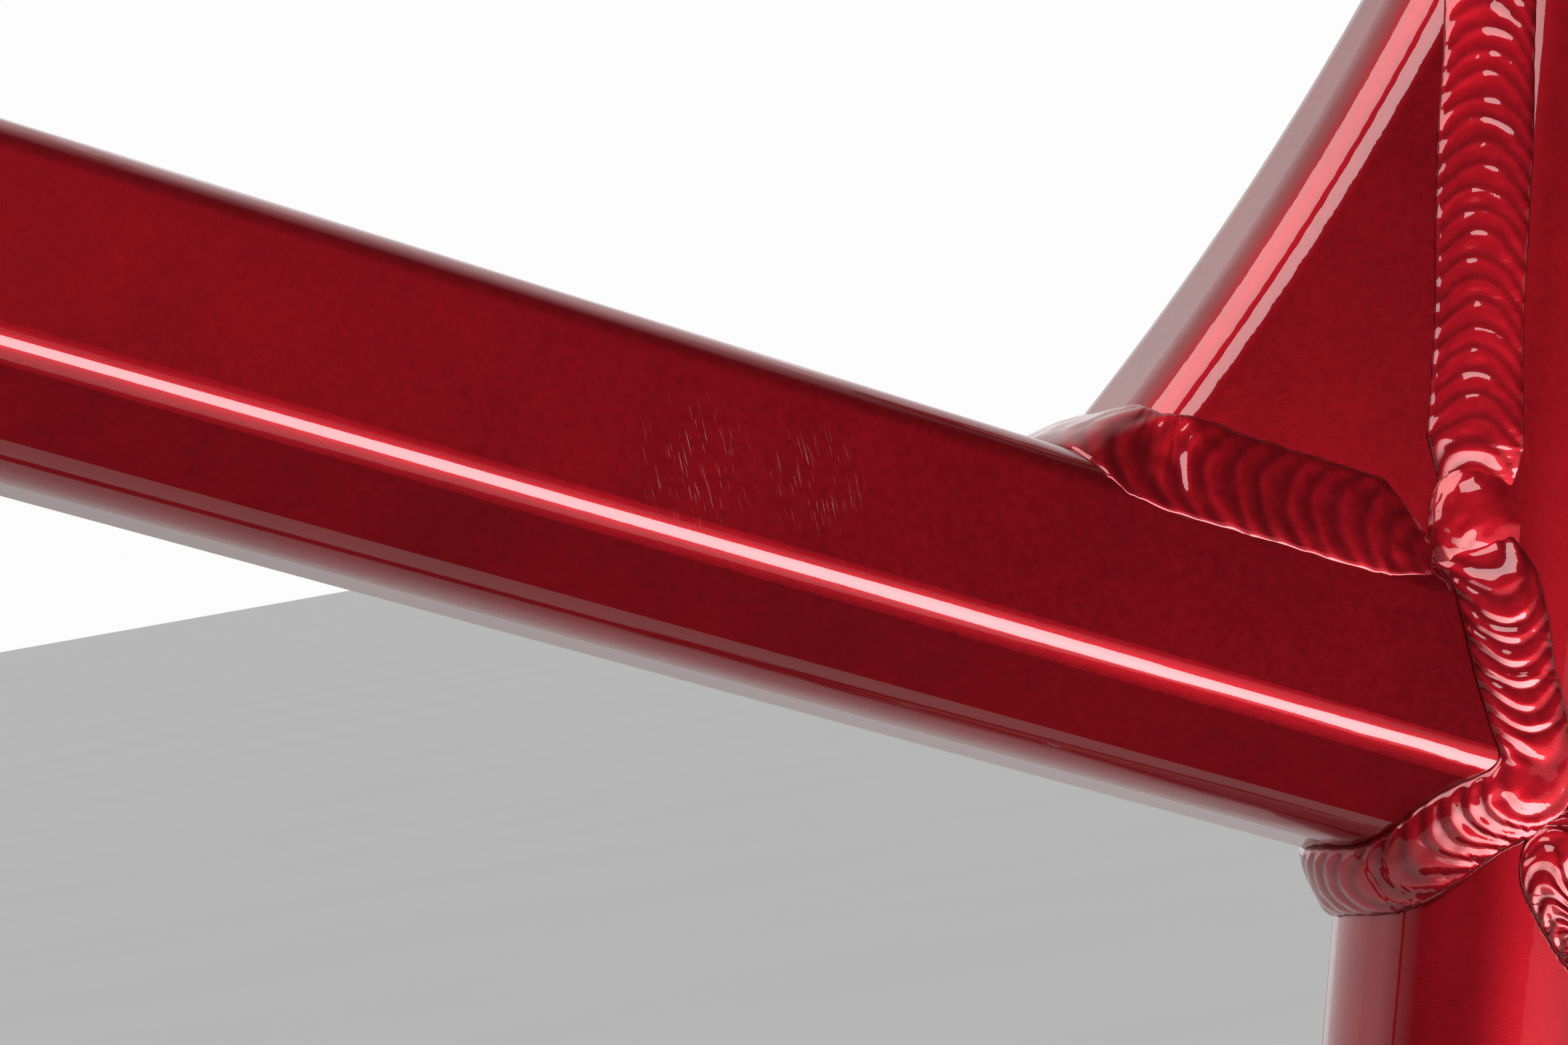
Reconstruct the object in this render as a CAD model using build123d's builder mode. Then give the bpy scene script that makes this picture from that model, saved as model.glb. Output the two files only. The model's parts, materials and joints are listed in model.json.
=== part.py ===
from build123d import *

import os
from collections import namedtuple
from math import atan2, cos, degrees, radians, sin, sqrt, tan

# A welded aluminium hardtail bicycle frame with its quick-release seat clamp, derailleur
# hanger and cable guides. Millimetres. The origin is the bottom bracket's centre, +Z is up,
# -X is the front of the bicycle, and -Y is its left side, away from the chain.

# ---------------------------------------------------------------- side view of the frame
seat_angle = 73.0                # seat tube, from the horizontal
head_angle = 69.0                # head tube, from the horizontal
top_tube_slope = 24.0            # fall of the top tube towards the seat tube
reach = 400.0                    # bottom bracket to head tube top, horizontally
stack = 585.0                    # bottom bracket to head tube top, vertically
head_tube_length = 135.0
top_tube_below_head_top = 38.0   # along the head tube, to the top tube's axis
down_tube_above_head_bottom = 54.0
chainstay_length = 425.0         # bottom bracket to rear axle
bottom_bracket_drop = 30.0       # rear axle above the bottom bracket
dropout_spacing = 135.0          # between the dropouts' inner faces

# ---------------------------------------------------------------- tubes
tube_wall = 1.8
head_tube_radius = 20.5
head_collar_radius = 23.0
head_collar_height = 9.0
head_collar_blend = 2.0
headset_bore_radius = 17.0       # seats a 34 mm headset cup at each end
headset_bore_depth = 25.0
head_tube_relief_radius = 17.6   # wider between the two seats

seat_tube_radius = 17.45
seatpost_bore_radius = 15.83      # a 31.6 mm seatpost slides in it
seatpost_bore_depth = 230.0      # reamed length for the seatpost
seat_tube_relief_radius = 16.1   # thinner wall below the reamed length
slot_width = 2.5
slot_length = 34.0
slot_end_radius = 3.0

bottom_bracket_radius = 20.0
bottom_bracket_bore_radius = 16.9
bottom_bracket_width = 73.0
bore_chamfer = 1.0

# A shaped tube's section: flat top, sides that widen down to a ridge, and a narrower floor.
Section = namedtuple(
    "Section",
    "height top_width ridge_width bottom_width ridge_drop top_radius ridge_radius bottom_radius",
)
top_tube_head_section = Section(44.0, 30.0, 38.5, 20.0, 7.5, 6.0, 7.0, 9.0)
top_tube_seat_section = Section(35.0, 27.0, 34.2, 17.0, 5.5, 5.0, 6.0, 8.0)
down_tube_head_section = Section(50.0, 28.0, 38.0, 26.0, 4.0, 8.0, 8.0, 9.0)
down_tube_middle_section = Section(50.0, 32.0, 44.0, 28.0, 2.0, 10.0, 10.0, 11.0)
down_tube_end_section = Section(37.0, 42.0, 54.0, 40.0, 1.0, 10.0, 9.0, 10.0)
down_tube_middle_at = 300.0      # middle section's distance from the head tube's axis

# ---------------------------------------------------------------- seat gusset
gusset_height = 92.0             # up the seat tube, from the top tube's upper face
gusset_length = 47.0             # along the top tube, from the seat tube's front
gusset_base_width = 25.0
gusset_top_width = 17.0
gusset_edge_radius = 7.0
gusset_sag = 3.0                 # hollow of its front edge
gusset_wall = 3.0

# ---------------------------------------------------------------- rear triangle
chainstay_height = 22.0
chainstay_thickness = 17.0
chainstay_wall = 1.6
chainstay_route = [(0.0, 25.5), (62.0, 31.0), (125.0, 50.0)]   # along, outwards
chainstay_bend_radius = 90.0
chainstay_gap_to_axle = 42.0     # where the dropout's foot takes over
seatstay_radius = 8.0
seatstay_wall = 1.5
seatstay_joint = 322.0           # up the seat tube, where the stays' axes meet it
seatstay_route = [(0.0, 9.2), (60.0, 38.0), (125.0, 48.0)]
seatstay_bend_radius = 70.0
seatstay_gap_to_axle = 50.0
chainstay_bridge_at = 56.0
chainstay_bridge_radius = 6.5
seatstay_bridge_at = 72.0
seatstay_bridge_radius = 6.5
bridge_wall = 1.5

# ---------------------------------------------------------------- dropouts
dropout_thickness = 7.0
dropout_edge_round = 1.2
dropout_axle_boss = 15.5
dropout_window = (-21.0, 9.0)    # from the axle, in the side view
dropout_window_radius = 4.5
foot_length = 15.0               # dropout's foot, from the stay's end to the plate's arm
chainstay_foot_radius = 9.0
seatstay_foot_radius = 7.5
axle_slot_radius = 5.05
axle_slot_tilt = 15.0            # the slot opens downwards and a little forwards
axle_slot_length = 40.0

hanger_thickness = 4.5
hanger_hole_radius = 4.6         # tapped M10 for the derailleur
hanger_hole_at = (12.0, -27.0)   # from the axle, in the side view
hanger_eye_radius = 9.0
hanger_ring_radius = 10.8
hanger_arm_at = (3.5, -3.0)
hanger_arm_radius = 7.4
hanger_screws_at = [(-13.5, -3.5), (-5.5, 12.0)]
hanger_pad_radius = 5.5
hanger_screw_radius = 2.0
hanger_head_radius = 3.6
hanger_head_height = 2.0
screw_clearance = 0.05
hex_socket_radius = 1.5
hex_socket_depth = 1.2

disc_tab_thickness = 6.0
disc_tab_middle = 66.0           # from the bicycle's middle plane
disc_hole_radius = 3.1
disc_hole_spacing = 51.0
disc_hole_first = 62.0           # from the axle, along the seatstay
disc_hole_rise = 22.0            # from the seatstay's axis
disc_boss_radius = 8.0
disc_root = 3.0                  # tab's root circles, from the seatstay's axis
disc_root_radius = 4.0
disc_window_radius = 7.0

# ---------------------------------------------------------------- small fittings
boss_spacing = 64.0
boss_flange_radius = 5.6
boss_flange_height = 1.2
boss_sleeve_radius = 3.5
boss_sleeve_length = 9.0
boss_bore_radius = 2.1           # tapped M5
boss_fit = 0.05
seat_tube_boss_at = 128.0        # lower boss, up the seat tube
down_tube_boss_at = 250.0        # first boss, from the head tube's axis

guide_length = 12.0
guide_width = 17.0
guide_height = 6.0
guide_root = 4.0                 # how far it reaches round the tube's edge
guide_channel_radius = 2.6
guide_channel_offset = 4.4
down_tube_guides_at = [120.0, 330.0, 520.0]
stay_guide_channel_radius = 2.6
stay_guide_radius = 4.6
stay_guide_length = 10.0
stay_guide_rise = 12.2           # from the stay's axis to the hose's axis
seatstay_guides_at = [150.0, 250.0]
cable_stop_at = 300.0
cable_stop_radius = 4.4
cable_stop_length = 14.0
cable_stop_bore_radius = 2.6
cable_stop_bore_depth = 10.0
cable_stop_exit_radius = 1.0
cable_stop_rise = 13.0

shell_guide_thickness = 3.2
shell_guide_width = 34.0
shell_guide_half_angle = 36.0
shell_guide_channel_radius = 1.6
shell_guide_channel_offset = 9.0
shell_screw_radius = 2.4
shell_screw_head_radius = 4.4
shell_screw_head_height = 2.2
shell_screw_recess = 0.8

# ---------------------------------------------------------------- seat clamp
clamp_fit = 0.05
clamp_radius = 21.0
clamp_height = 15.0
clamp_lip = 1.6                  # covers the seat tube's rim
clamp_lip_radius = 16.4
clamp_slot = 3.0
ear_width = 20.0
ear_reach = 32.5                 # from the seat tube's axis, backwards
ear_round = 3.0
collar_edge_round = 0.8
skewer_radius = 3.0
skewer_back = 26.8               # from the seat tube's axis
skewer_fit = 0.05
cam_radius = 8.5
cam_offset = 0.6                 # the cam's centre from its pivot
cam_fit = 0.05
cam_height = 13.0
cam_web_start = 3.5              # solid part of the cam, in front of the skewer
pivot_radius = 4.5
pivot_fit = 0.05
cam_seat_floor = 2.0
cam_seat_half_width = 5.0
cam_seat_height = 12.0
cam_seat_depth = 3.4
cam_seat_spare = 0.5             # the hollow is wider than the cam by this
lever_thickness = 3.6
lever_height = 11.0
lever_gap = 2.4                  # lever to collar when it is closed
lever_from_angle = 60.0          # round the seat tube, from straight back
lever_to_angle = 148.0
lever_edge_round = 1.2
fork_slot = 6.5                  # gap in the cam for the skewer
nut_radius = 7.5
nut_length = 9.0
nut_groove_radius = 1.2
nut_grooves = 10
nut_gap = 0.05
skewer_recess = 0.8
clamp_washer_thickness = 1.2
clamp_washer_radius = 6.2

# ---------------------------------------------------------------- weld beads
main_bead = 5.0
stay_bead = 3.0
small_bead = 2.2
foot_bead_half_length = 2.5
shell_bead_start = 7.0           # up the seat tube and down tube, from the shell's middle

# ---------------------------------------------------------------- worked-out places
seat_up = Vector(cos(radians(seat_angle)), 0, sin(radians(seat_angle)))
head_up = Vector(cos(radians(head_angle)), 0, sin(radians(head_angle)))
top_tube_back = Vector(cos(radians(top_tube_slope)), 0, -sin(radians(top_tube_slope)))
bottom_bracket = Vector(0, 0, 0)
head_top = Vector(-reach, 0, stack)
head_bottom = head_top - head_up * head_tube_length
top_tube_front = head_top - head_up * top_tube_below_head_top
down_tube_front = head_bottom + head_up * down_tube_above_head_bottom
fall = tan(radians(top_tube_slope))
top_tube_joint = (top_tube_front.Z + top_tube_front.X * fall) / (seat_up.Z + seat_up.X * fall)
top_tube_end = seat_up * top_tube_joint
top_tube_length = (top_tube_end - top_tube_front).length
down_tube_length = (bottom_bracket - down_tube_front).length
rear_axle = Vector(sqrt(chainstay_length**2 - bottom_bracket_drop**2), 0, bottom_bracket_drop)
plate_middle = (dropout_spacing + dropout_thickness) / 2

top_corner_rise = top_tube_seat_section.height / 2 / sin(radians(seat_angle + top_tube_slope))
clamp_zone = 42.0                # seat tube above the gusset
seat_tube_length = top_tube_joint + top_corner_rise + gusset_height + clamp_zone


def tube_plane(start: Vector, direction: Vector) -> Plane:
    """Plane across a tube: its x axis is the bicycle's +Y."""
    return Plane(origin=start, x_dir=(0, 1, 0), z_dir=direction)


def stay_plane(start: Vector, end: Vector) -> Plane:
    """Plane that holds a stay's bent axis: x runs from start to end, y is the bicycle's +Y."""
    along = (end - start).normalized()
    return Plane(origin=start, x_dir=along, z_dir=along.cross(Vector(0, 1, 0)))


seat_plane = tube_plane(bottom_bracket, seat_up)
head_plane = tube_plane(head_bottom, head_up)
top_tube_plane = tube_plane(top_tube_front, top_tube_back)
down_tube_plane = tube_plane(down_tube_front, bottom_bracket - down_tube_front)
shell_plane = Plane(origin=(0, -bottom_bracket_width / 2, 0), x_dir=(1, 0, 0), z_dir=(0, 1, 0))
chainstay_plane = stay_plane(bottom_bracket, rear_axle)
seatstay_top = seat_up * seatstay_joint
seatstay_plane = stay_plane(seatstay_top, rear_axle)
seatstay_length = (rear_axle - seatstay_top).length


# ---------------------------------------------------------------- shared shapes
def rod(plane: Plane, radius: float, length: float) -> Part:
    """Solid cylinder that starts on a plane."""
    with BuildPart() as space:
        with BuildSketch(plane):
            Circle(radius)
        extrude(amount=length)
    return space.part


def shaped_space(stations: list, grow: float = 0.0) -> Part:
    """Solid that fills a shaped tube, grown outwards or inwards: stations are plane, section."""
    with BuildPart() as space:
        for plane, section in stations:
            upper = section.height / 2
            with BuildSketch(plane) as shape:
                with BuildLine():
                    Polyline(
                        (section.top_width / 2, upper),
                        (section.ridge_width / 2, -section.ridge_drop),
                        (section.bottom_width / 2, -upper),
                        (-section.bottom_width / 2, -upper),
                        (-section.ridge_width / 2, -section.ridge_drop),
                        (-section.top_width / 2, upper),
                        close=True,
                    )
                make_face()
                fillet(shape.vertices().group_by(Axis.Y)[0], section.bottom_radius)
                fillet(shape.vertices().group_by(Axis.Y)[-1], section.top_radius)
                columns = shape.vertices().group_by(Axis.X)
                fillet(columns[0] + columns[-1], section.ridge_radius)
                if grow:
                    offset(amount=grow)
        loft()
    return space.part


def stay_path(plane: Plane, route: list, bend_radius: float, length: float) -> Wire:
    """A stay's axis: straight runs joined by arcs, ending in the dropout's plane."""
    points = [*route, (length, plate_middle)]
    with BuildLine(plane) as path:
        FilletPolyline(*points, radius=bend_radius)
    return path.wire()


def stay_space(path: Wire, plane: Plane, height: float, width: float) -> Part:
    """Solid that fills a stay of an oval section along its axis."""
    section_plane = Plane(origin=path @ 0, x_dir=plane.z_dir, z_dir=path % 0)
    with BuildPart() as space:
        with BuildSketch(section_plane):
            Ellipse(height / 2, width / 2)
        sweep(path=path)
    return space.part


def mirrored(part: Part) -> Part:
    """The same part on the other side of the bicycle."""
    with BuildPart() as other_side:
        add(part)
        mirror(about=Plane.XZ, mode=Mode.REPLACE)
    return other_side.part


def gusset_space(shrink: float = 0.0) -> Part:
    """Solid that fills the seat gusset, before the tubes are cut out of it."""
    corner = top_tube_end + top_tube_plane.y_dir * (top_tube_seat_section.height / 2)
    front = seat_plane.y_dir
    corner = corner + top_tube_back * -(seat_tube_radius / abs(front.dot(top_tube_back)))
    toe = corner - top_tube_back * (gusset_length - shrink)
    tip = corner + seat_up * (gusset_height - shrink)
    deep = seat_tube_radius
    with BuildPart() as space:
        with BuildSketch(Plane.XZ) as side:
            with BuildLine():
                front_edge = SagittaArc((toe.X, toe.Z), (tip.X, tip.Z), -gusset_sag)
                back_of_tip = tip - front * deep
                below_toe = toe - top_tube_plane.y_dir * deep
                Polyline(
                    front_edge @ 1,
                    (back_of_tip.X, back_of_tip.Z),
                    (top_tube_end.X, top_tube_end.Z),
                    (below_toe.X, below_toe.Z),
                    front_edge @ 0,
                )
            make_face()
        extrude(amount=gusset_base_width / 2 - shrink, both=True)
        lean = degrees(atan2((gusset_base_width - gusset_top_width) / 2, gusset_height))
        for side_sign in (1, -1):
            foot = Vector(corner.X, side_sign * (gusset_base_width / 2 - shrink), corner.Z)
            cheek = Plane(origin=foot, x_dir=top_tube_back, z_dir=(0, side_sign, 0))
            cheek = cheek.rotated((side_sign * lean, 0, 0))
            split(bisect_by=cheek, keep=Keep.BOTTOM)
        rims = space.edges().filter_by(GeomType.LINE, reverse=True)
        fillet(rims, gusset_edge_radius - shrink)
    return space.part


def bead(grown: Part, other_grown: Part, cutters: list) -> Part:
    """Weld metal in the corner where two grown tubes overlap, outside every tube itself."""
    with BuildPart() as ring:
        add(grown)
        add(other_grown, mode=Mode.INTERSECT)
        for cutter in cutters:
            add(cutter, mode=Mode.SUBTRACT)
    return ring.part


def save(part: Part, name: str) -> None:
    """Writes one finished piece as its own STEP file."""
    part.label = name
    export_step(part, f"parts/{name}.step")


os.makedirs("parts", exist_ok=True)

# ---------------------------------------------------------------- envelopes of the tubes
head_space = rod(head_plane, head_tube_radius, head_tube_length)
seat_space = rod(seat_plane, seat_tube_radius, seat_tube_length)
shell_space = rod(shell_plane, bottom_bracket_radius, bottom_bracket_width)
top_tube_stations = [
    (top_tube_plane, top_tube_head_section),
    (top_tube_plane.offset(top_tube_length), top_tube_seat_section),
]
down_tube_stations = [
    (down_tube_plane, down_tube_head_section),
    (down_tube_plane.offset(down_tube_middle_at), down_tube_middle_section),
    (down_tube_plane.offset(down_tube_length), down_tube_end_section),
]
top_tube_space = shaped_space(top_tube_stations)
down_tube_space = shaped_space(down_tube_stations)
gusset_body = gusset_space()

chainstay_path = stay_path(
    chainstay_plane,
    chainstay_route,
    chainstay_bend_radius,
    chainstay_length - chainstay_gap_to_axle,
)
seatstay_path = stay_path(
    seatstay_plane,
    seatstay_route,
    seatstay_bend_radius,
    seatstay_length - seatstay_gap_to_axle,
)
chainstay_space = stay_space(
    chainstay_path, chainstay_plane, chainstay_height, chainstay_thickness
)
seatstay_space = stay_space(
    seatstay_path, seatstay_plane, 2 * seatstay_radius, 2 * seatstay_radius
)

# ---------------------------------------------------------------- head tube
with BuildPart() as head_tube:
    with BuildSketch(head_plane):
        Circle(head_tube_radius)
    extrude(amount=head_tube_length)
    with BuildSketch(head_plane, head_plane.offset(head_tube_length - head_collar_height)):
        Circle(head_collar_radius)
    extrude(amount=head_collar_height)
    shoulders = head_tube.edges().filter_by(GeomType.CIRCLE)
    shoulders = shoulders.filter_by(lambda e: abs(e.radius - head_collar_radius) < 0.01)
    fillet(shoulders, head_collar_blend)
    with BuildSketch(head_plane):
        Circle(headset_bore_radius)
    extrude(amount=head_tube_length, mode=Mode.SUBTRACT)
    with BuildSketch(head_plane.offset(headset_bore_depth)):
        Circle(head_tube_relief_radius)
    extrude(amount=head_tube_length - 2 * headset_bore_depth, mode=Mode.SUBTRACT)
save(head_tube.part, "head_tube")

# ---------------------------------------------------------------- bottom bracket shell
with BuildPart() as bottom_bracket_shell:
    with BuildSketch(shell_plane):
        Circle(bottom_bracket_radius)
        Circle(bottom_bracket_bore_radius, mode=Mode.SUBTRACT)
    extrude(amount=bottom_bracket_width)
    rims = bottom_bracket_shell.edges().filter_by(GeomType.CIRCLE)
    chamfer(rims, bore_chamfer)
    with BuildSketch(Plane.XY.offset(-bottom_bracket_radius)):
        Circle(shell_screw_radius + screw_clearance)
    extrude(amount=bottom_bracket_radius - bottom_bracket_bore_radius + bore_chamfer,
            mode=Mode.SUBTRACT)
save(bottom_bracket_shell.part, "bottom_bracket_shell")

# ---------------------------------------------------------------- seat tube
boss_hole_radius = boss_sleeve_radius + boss_fit
with BuildPart() as seat_tube:
    with BuildSketch(seat_plane):
        Circle(seat_tube_radius)
    extrude(amount=seat_tube_length)
    with BuildSketch(seat_plane):
        Circle(seat_tube_relief_radius)
    extrude(amount=seat_tube_length - seatpost_bore_depth, mode=Mode.SUBTRACT)
    with BuildSketch(seat_plane.offset(seat_tube_length - seatpost_bore_depth)):
        Circle(seatpost_bore_radius)
    extrude(amount=seatpost_bore_depth, mode=Mode.SUBTRACT)
    rear_wall = Plane(
        origin=seat_up * seat_tube_length, x_dir=(0, 1, 0), z_dir=-seat_plane.y_dir
    )
    with BuildSketch(rear_wall):
        with Locations((0, 0)):
            Rectangle(slot_width, 2 * slot_length)
        with Locations((0, -slot_length), (0, slot_length)):
            Circle(slot_end_radius)
    extrude(amount=2 * seat_tube_radius, mode=Mode.SUBTRACT)
    front_wall = Plane(
        origin=seat_up * seat_tube_boss_at, x_dir=(0, 1, 0), z_dir=seat_plane.y_dir
    )
    with BuildSketch(front_wall):
        with Locations((0, 0), (0, -boss_spacing)):
            Circle(boss_hole_radius)
    extrude(amount=2 * seat_tube_radius, mode=Mode.SUBTRACT)
    add(shell_space, mode=Mode.SUBTRACT)
save(seat_tube.part, "seat_tube")

# ---------------------------------------------------------------- top tube
with BuildPart() as top_tube:
    add(top_tube_space)
    add(shaped_space(top_tube_stations, -tube_wall), mode=Mode.SUBTRACT)
    add(head_space, mode=Mode.SUBTRACT)
    add(seat_space, mode=Mode.SUBTRACT)
save(top_tube.part, "top_tube")

# ---------------------------------------------------------------- down tube
down_tube_top_face = down_tube_middle_section.height / 2
with BuildPart() as down_tube:
    add(down_tube_space)
    add(shaped_space(down_tube_stations, -tube_wall), mode=Mode.SUBTRACT)
    add(head_space, mode=Mode.SUBTRACT)
    add(shell_space, mode=Mode.SUBTRACT)
    add(seat_space, mode=Mode.SUBTRACT)
    boss_wall = Plane(
        origin=(down_tube_plane.offset(down_tube_boss_at)).origin,
        x_dir=(0, 1, 0),
        z_dir=down_tube_plane.y_dir,
    )
    with BuildSketch(boss_wall):
        with Locations((0, 0), (0, -boss_spacing)):
            Circle(boss_hole_radius)
    extrude(amount=2 * down_tube_top_face, mode=Mode.SUBTRACT)
save(down_tube.part, "down_tube")

# ---------------------------------------------------------------- seat gusset
with BuildPart() as seat_gusset:
    add(gusset_body)
    add(gusset_space(gusset_wall), mode=Mode.SUBTRACT)
    add(seat_space, mode=Mode.SUBTRACT)
    add(top_tube_space, mode=Mode.SUBTRACT)
save(seat_gusset.part, "seat_gusset")

# ---------------------------------------------------------------- stays and bridges
with BuildPart() as chainstay:
    add(chainstay_space)
    add(
        stay_space(
            chainstay_path,
            chainstay_plane,
            chainstay_height - 2 * chainstay_wall,
            chainstay_thickness - 2 * chainstay_wall,
        ),
        mode=Mode.SUBTRACT,
    )
    add(shell_space, mode=Mode.SUBTRACT)
with BuildPart() as seatstay:
    add(seatstay_space)
    inner_size = 2 * (seatstay_radius - seatstay_wall)
    add(
        stay_space(seatstay_path, seatstay_plane, inner_size, inner_size),
        mode=Mode.SUBTRACT,
    )
    add(seat_space, mode=Mode.SUBTRACT)
save(chainstay.part, "chainstay_right")
save(seatstay.part, "seatstay_right")
save(mirrored(chainstay.part), "chainstay_left")
save(mirrored(seatstay.part), "seatstay_left")


def bridge_space(plane: Plane, route: list, at: float, radius: float) -> Part:
    """Solid rod across the bicycle, from one stay's axis to the other's."""
    for (before, inner), (after, outer) in zip(route, route[1:]):
        if before <= at <= after:
            reach_out = inner + (outer - inner) * (at - before) / (after - before)
    middle = plane.origin + plane.x_dir * at
    start = Plane(
        origin=middle - Vector(0, reach_out, 0), x_dir=plane.x_dir, z_dir=(0, 1, 0)
    )
    return rod(start, radius, 2 * reach_out)


def bridge(plane: Plane, route: list, at: float, radius: float, stay: Part) -> Part:
    """Short tube between two stays, shaped to fit them at its ends."""
    with BuildPart() as tube:
        add(bridge_space(plane, route, at, radius))
        add(bridge_space(plane, route, at, radius - bridge_wall), mode=Mode.SUBTRACT)
        add(stay, mode=Mode.SUBTRACT)
        add(mirrored(stay), mode=Mode.SUBTRACT)
    return tube.part


def bridge_weld(rods: list, stay: Part, grown_stay: Part) -> Part:
    """Weld rings where a bridge meets the stays; rods are the bridge's space and it grown."""
    with BuildPart() as rings:
        add(rods[1])
        with BuildPart(mode=Mode.PRIVATE) as near_stays:
            add(grown_stay)
            add(mirrored(grown_stay))
        add(near_stays.part, mode=Mode.INTERSECT)
        add(rods[0], mode=Mode.SUBTRACT)
        add(stay, mode=Mode.SUBTRACT)
        add(mirrored(stay), mode=Mode.SUBTRACT)
    return rings.part


chainstay_bridge_size = (chainstay_plane, chainstay_route, chainstay_bridge_at)
seatstay_bridge_size = (seatstay_plane, seatstay_route, seatstay_bridge_at)
chainstay_bridge = bridge(*chainstay_bridge_size, chainstay_bridge_radius, chainstay_space)
seatstay_bridge = bridge(*seatstay_bridge_size, seatstay_bridge_radius, seatstay_space)
save(chainstay_bridge, "chainstay_bridge")
save(seatstay_bridge, "seatstay_bridge")
chainstay_bridge_weld = bridge_weld(
    [
        bridge_space(*chainstay_bridge_size, chainstay_bridge_radius),
        bridge_space(*chainstay_bridge_size, chainstay_bridge_radius + small_bead),
    ],
    chainstay_space,
    stay_space(
        chainstay_path,
        chainstay_plane,
        chainstay_height + 2 * small_bead,
        chainstay_thickness + 2 * small_bead,
    ),
)
seatstay_bridge_weld = bridge_weld(
    [
        bridge_space(*seatstay_bridge_size, seatstay_bridge_radius),
        bridge_space(*seatstay_bridge_size, seatstay_bridge_radius + small_bead),
    ],
    seatstay_space,
    stay_space(
        seatstay_path,
        seatstay_plane,
        2 * (seatstay_radius + small_bead),
        2 * (seatstay_radius + small_bead),
    ),
)

# ---------------------------------------------------------------- dropouts
chainstay_back = chainstay_plane.x_dir
seatstay_down = seatstay_plane.x_dir
side_height = dropout_spacing / 2
right_side = Plane(
    origin=rear_axle + Vector(0, side_height, 0), x_dir=(-1, 0, 0), z_dir=(0, 1, 0)
)
right_face = right_side.offset(dropout_thickness)
slot_way = Vector(sin(radians(axle_slot_tilt)), -cos(radians(axle_slot_tilt)), 0)


def forward_of_axle(points: list) -> list:
    """Side-view places given from the axle, in the right side's plane (its x axis is -X)."""
    return [(-x, z) for x, z in points]


def foot_centre(path: Wire, plane: Plane) -> Vector:
    """Where a dropout's foot meets its plate, carried on from the stay's end."""
    end = path @ 1
    return Vector(end.X, plate_middle, end.Z) + plane.x_dir * foot_length


def foot(path: Wire, plane: Plane, height: float, width: float, tip_radius: float) -> Part:
    """Forged foot: the stay's outline at one end and the plate's thickness at the other."""
    tip = foot_centre(path, plane)
    with BuildPart() as block:
        with BuildSketch(Plane(origin=path @ 1, x_dir=plane.z_dir, z_dir=path % 1)):
            Ellipse(height / 2, width / 2)
        with BuildSketch(Plane(origin=tip, x_dir=plane.z_dir, z_dir=plane.x_dir)):
            Ellipse(tip_radius, dropout_thickness / 2)
        loft()
    return block.part


chainstay_foot = foot(
    chainstay_path,
    chainstay_plane,
    chainstay_height,
    chainstay_thickness,
    chainstay_foot_radius,
)
seatstay_foot = foot(
    seatstay_path,
    seatstay_plane,
    2 * seatstay_radius,
    2 * seatstay_radius,
    seatstay_foot_radius,
)
chainstay_tip = foot_centre(chainstay_path, chainstay_plane) - rear_axle
seatstay_tip = foot_centre(seatstay_path, seatstay_plane) - rear_axle


def dropout(holes: list) -> Part:
    """Right-hand dropout; holes are the screws' places from the axle."""
    with BuildPart() as plate:
        with BuildSketch(right_side):
            with BuildSketch(mode=Mode.PRIVATE) as circles:
                Circle(dropout_axle_boss)
                with Locations((-chainstay_tip.X, chainstay_tip.Z)):
                    Circle(chainstay_foot_radius)
                with Locations((-seatstay_tip.X, seatstay_tip.Z)):
                    Circle(seatstay_foot_radius)
            make_hull(circles.edges())
        extrude(amount=dropout_thickness)
        fillet(plate.edges().filter_by(Plane.XZ), dropout_edge_round)
        with BuildSketch(right_side):
            with Locations(*forward_of_axle([dropout_window])):
                Circle(dropout_window_radius)
            if holes:
                with Locations(*forward_of_axle(holes)):
                    Circle(hanger_screw_radius + screw_clearance)
            SlotCenterPoint(
                slot_way * (axle_slot_length / 2),
                slot_way * axle_slot_length,
                2 * axle_slot_radius,
            )
        extrude(amount=dropout_thickness, mode=Mode.SUBTRACT)
        add(chainstay_foot)
        add(seatstay_foot)
    return plate.part


dropout_right = dropout(hanger_screws_at)
dropout_left = mirrored(dropout([]))
save(dropout_right, "dropout_right")
save(dropout_left, "dropout_left")

# ---------------------------------------------------------------- derailleur hanger
with BuildPart() as derailleur_hanger:
    with BuildSketch(right_face):
        with BuildSketch(mode=Mode.PRIVATE) as pad_circles:
            Circle(hanger_ring_radius)
            with Locations(*forward_of_axle(hanger_screws_at)):
                Circle(hanger_pad_radius)
        make_hull(pad_circles.edges())
        with BuildSketch(mode=Mode.PRIVATE) as arm_circles:
            with Locations(*forward_of_axle([hanger_arm_at])):
                Circle(hanger_arm_radius)
            with Locations(*forward_of_axle([hanger_hole_at])):
                Circle(hanger_eye_radius)
        make_hull(arm_circles.edges())
        with Locations(*forward_of_axle([hanger_hole_at])):
            Circle(hanger_hole_radius, mode=Mode.SUBTRACT)
        with Locations(*forward_of_axle(hanger_screws_at)):
            Circle(hanger_screw_radius + screw_clearance, mode=Mode.SUBTRACT)
        SlotCenterPoint(
            slot_way * (axle_slot_length / 2),
            slot_way * axle_slot_length,
            2 * axle_slot_radius,
            mode=Mode.SUBTRACT,
        )
    extrude(amount=hanger_thickness)
save(derailleur_hanger.part, "derailleur_hanger")

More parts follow.
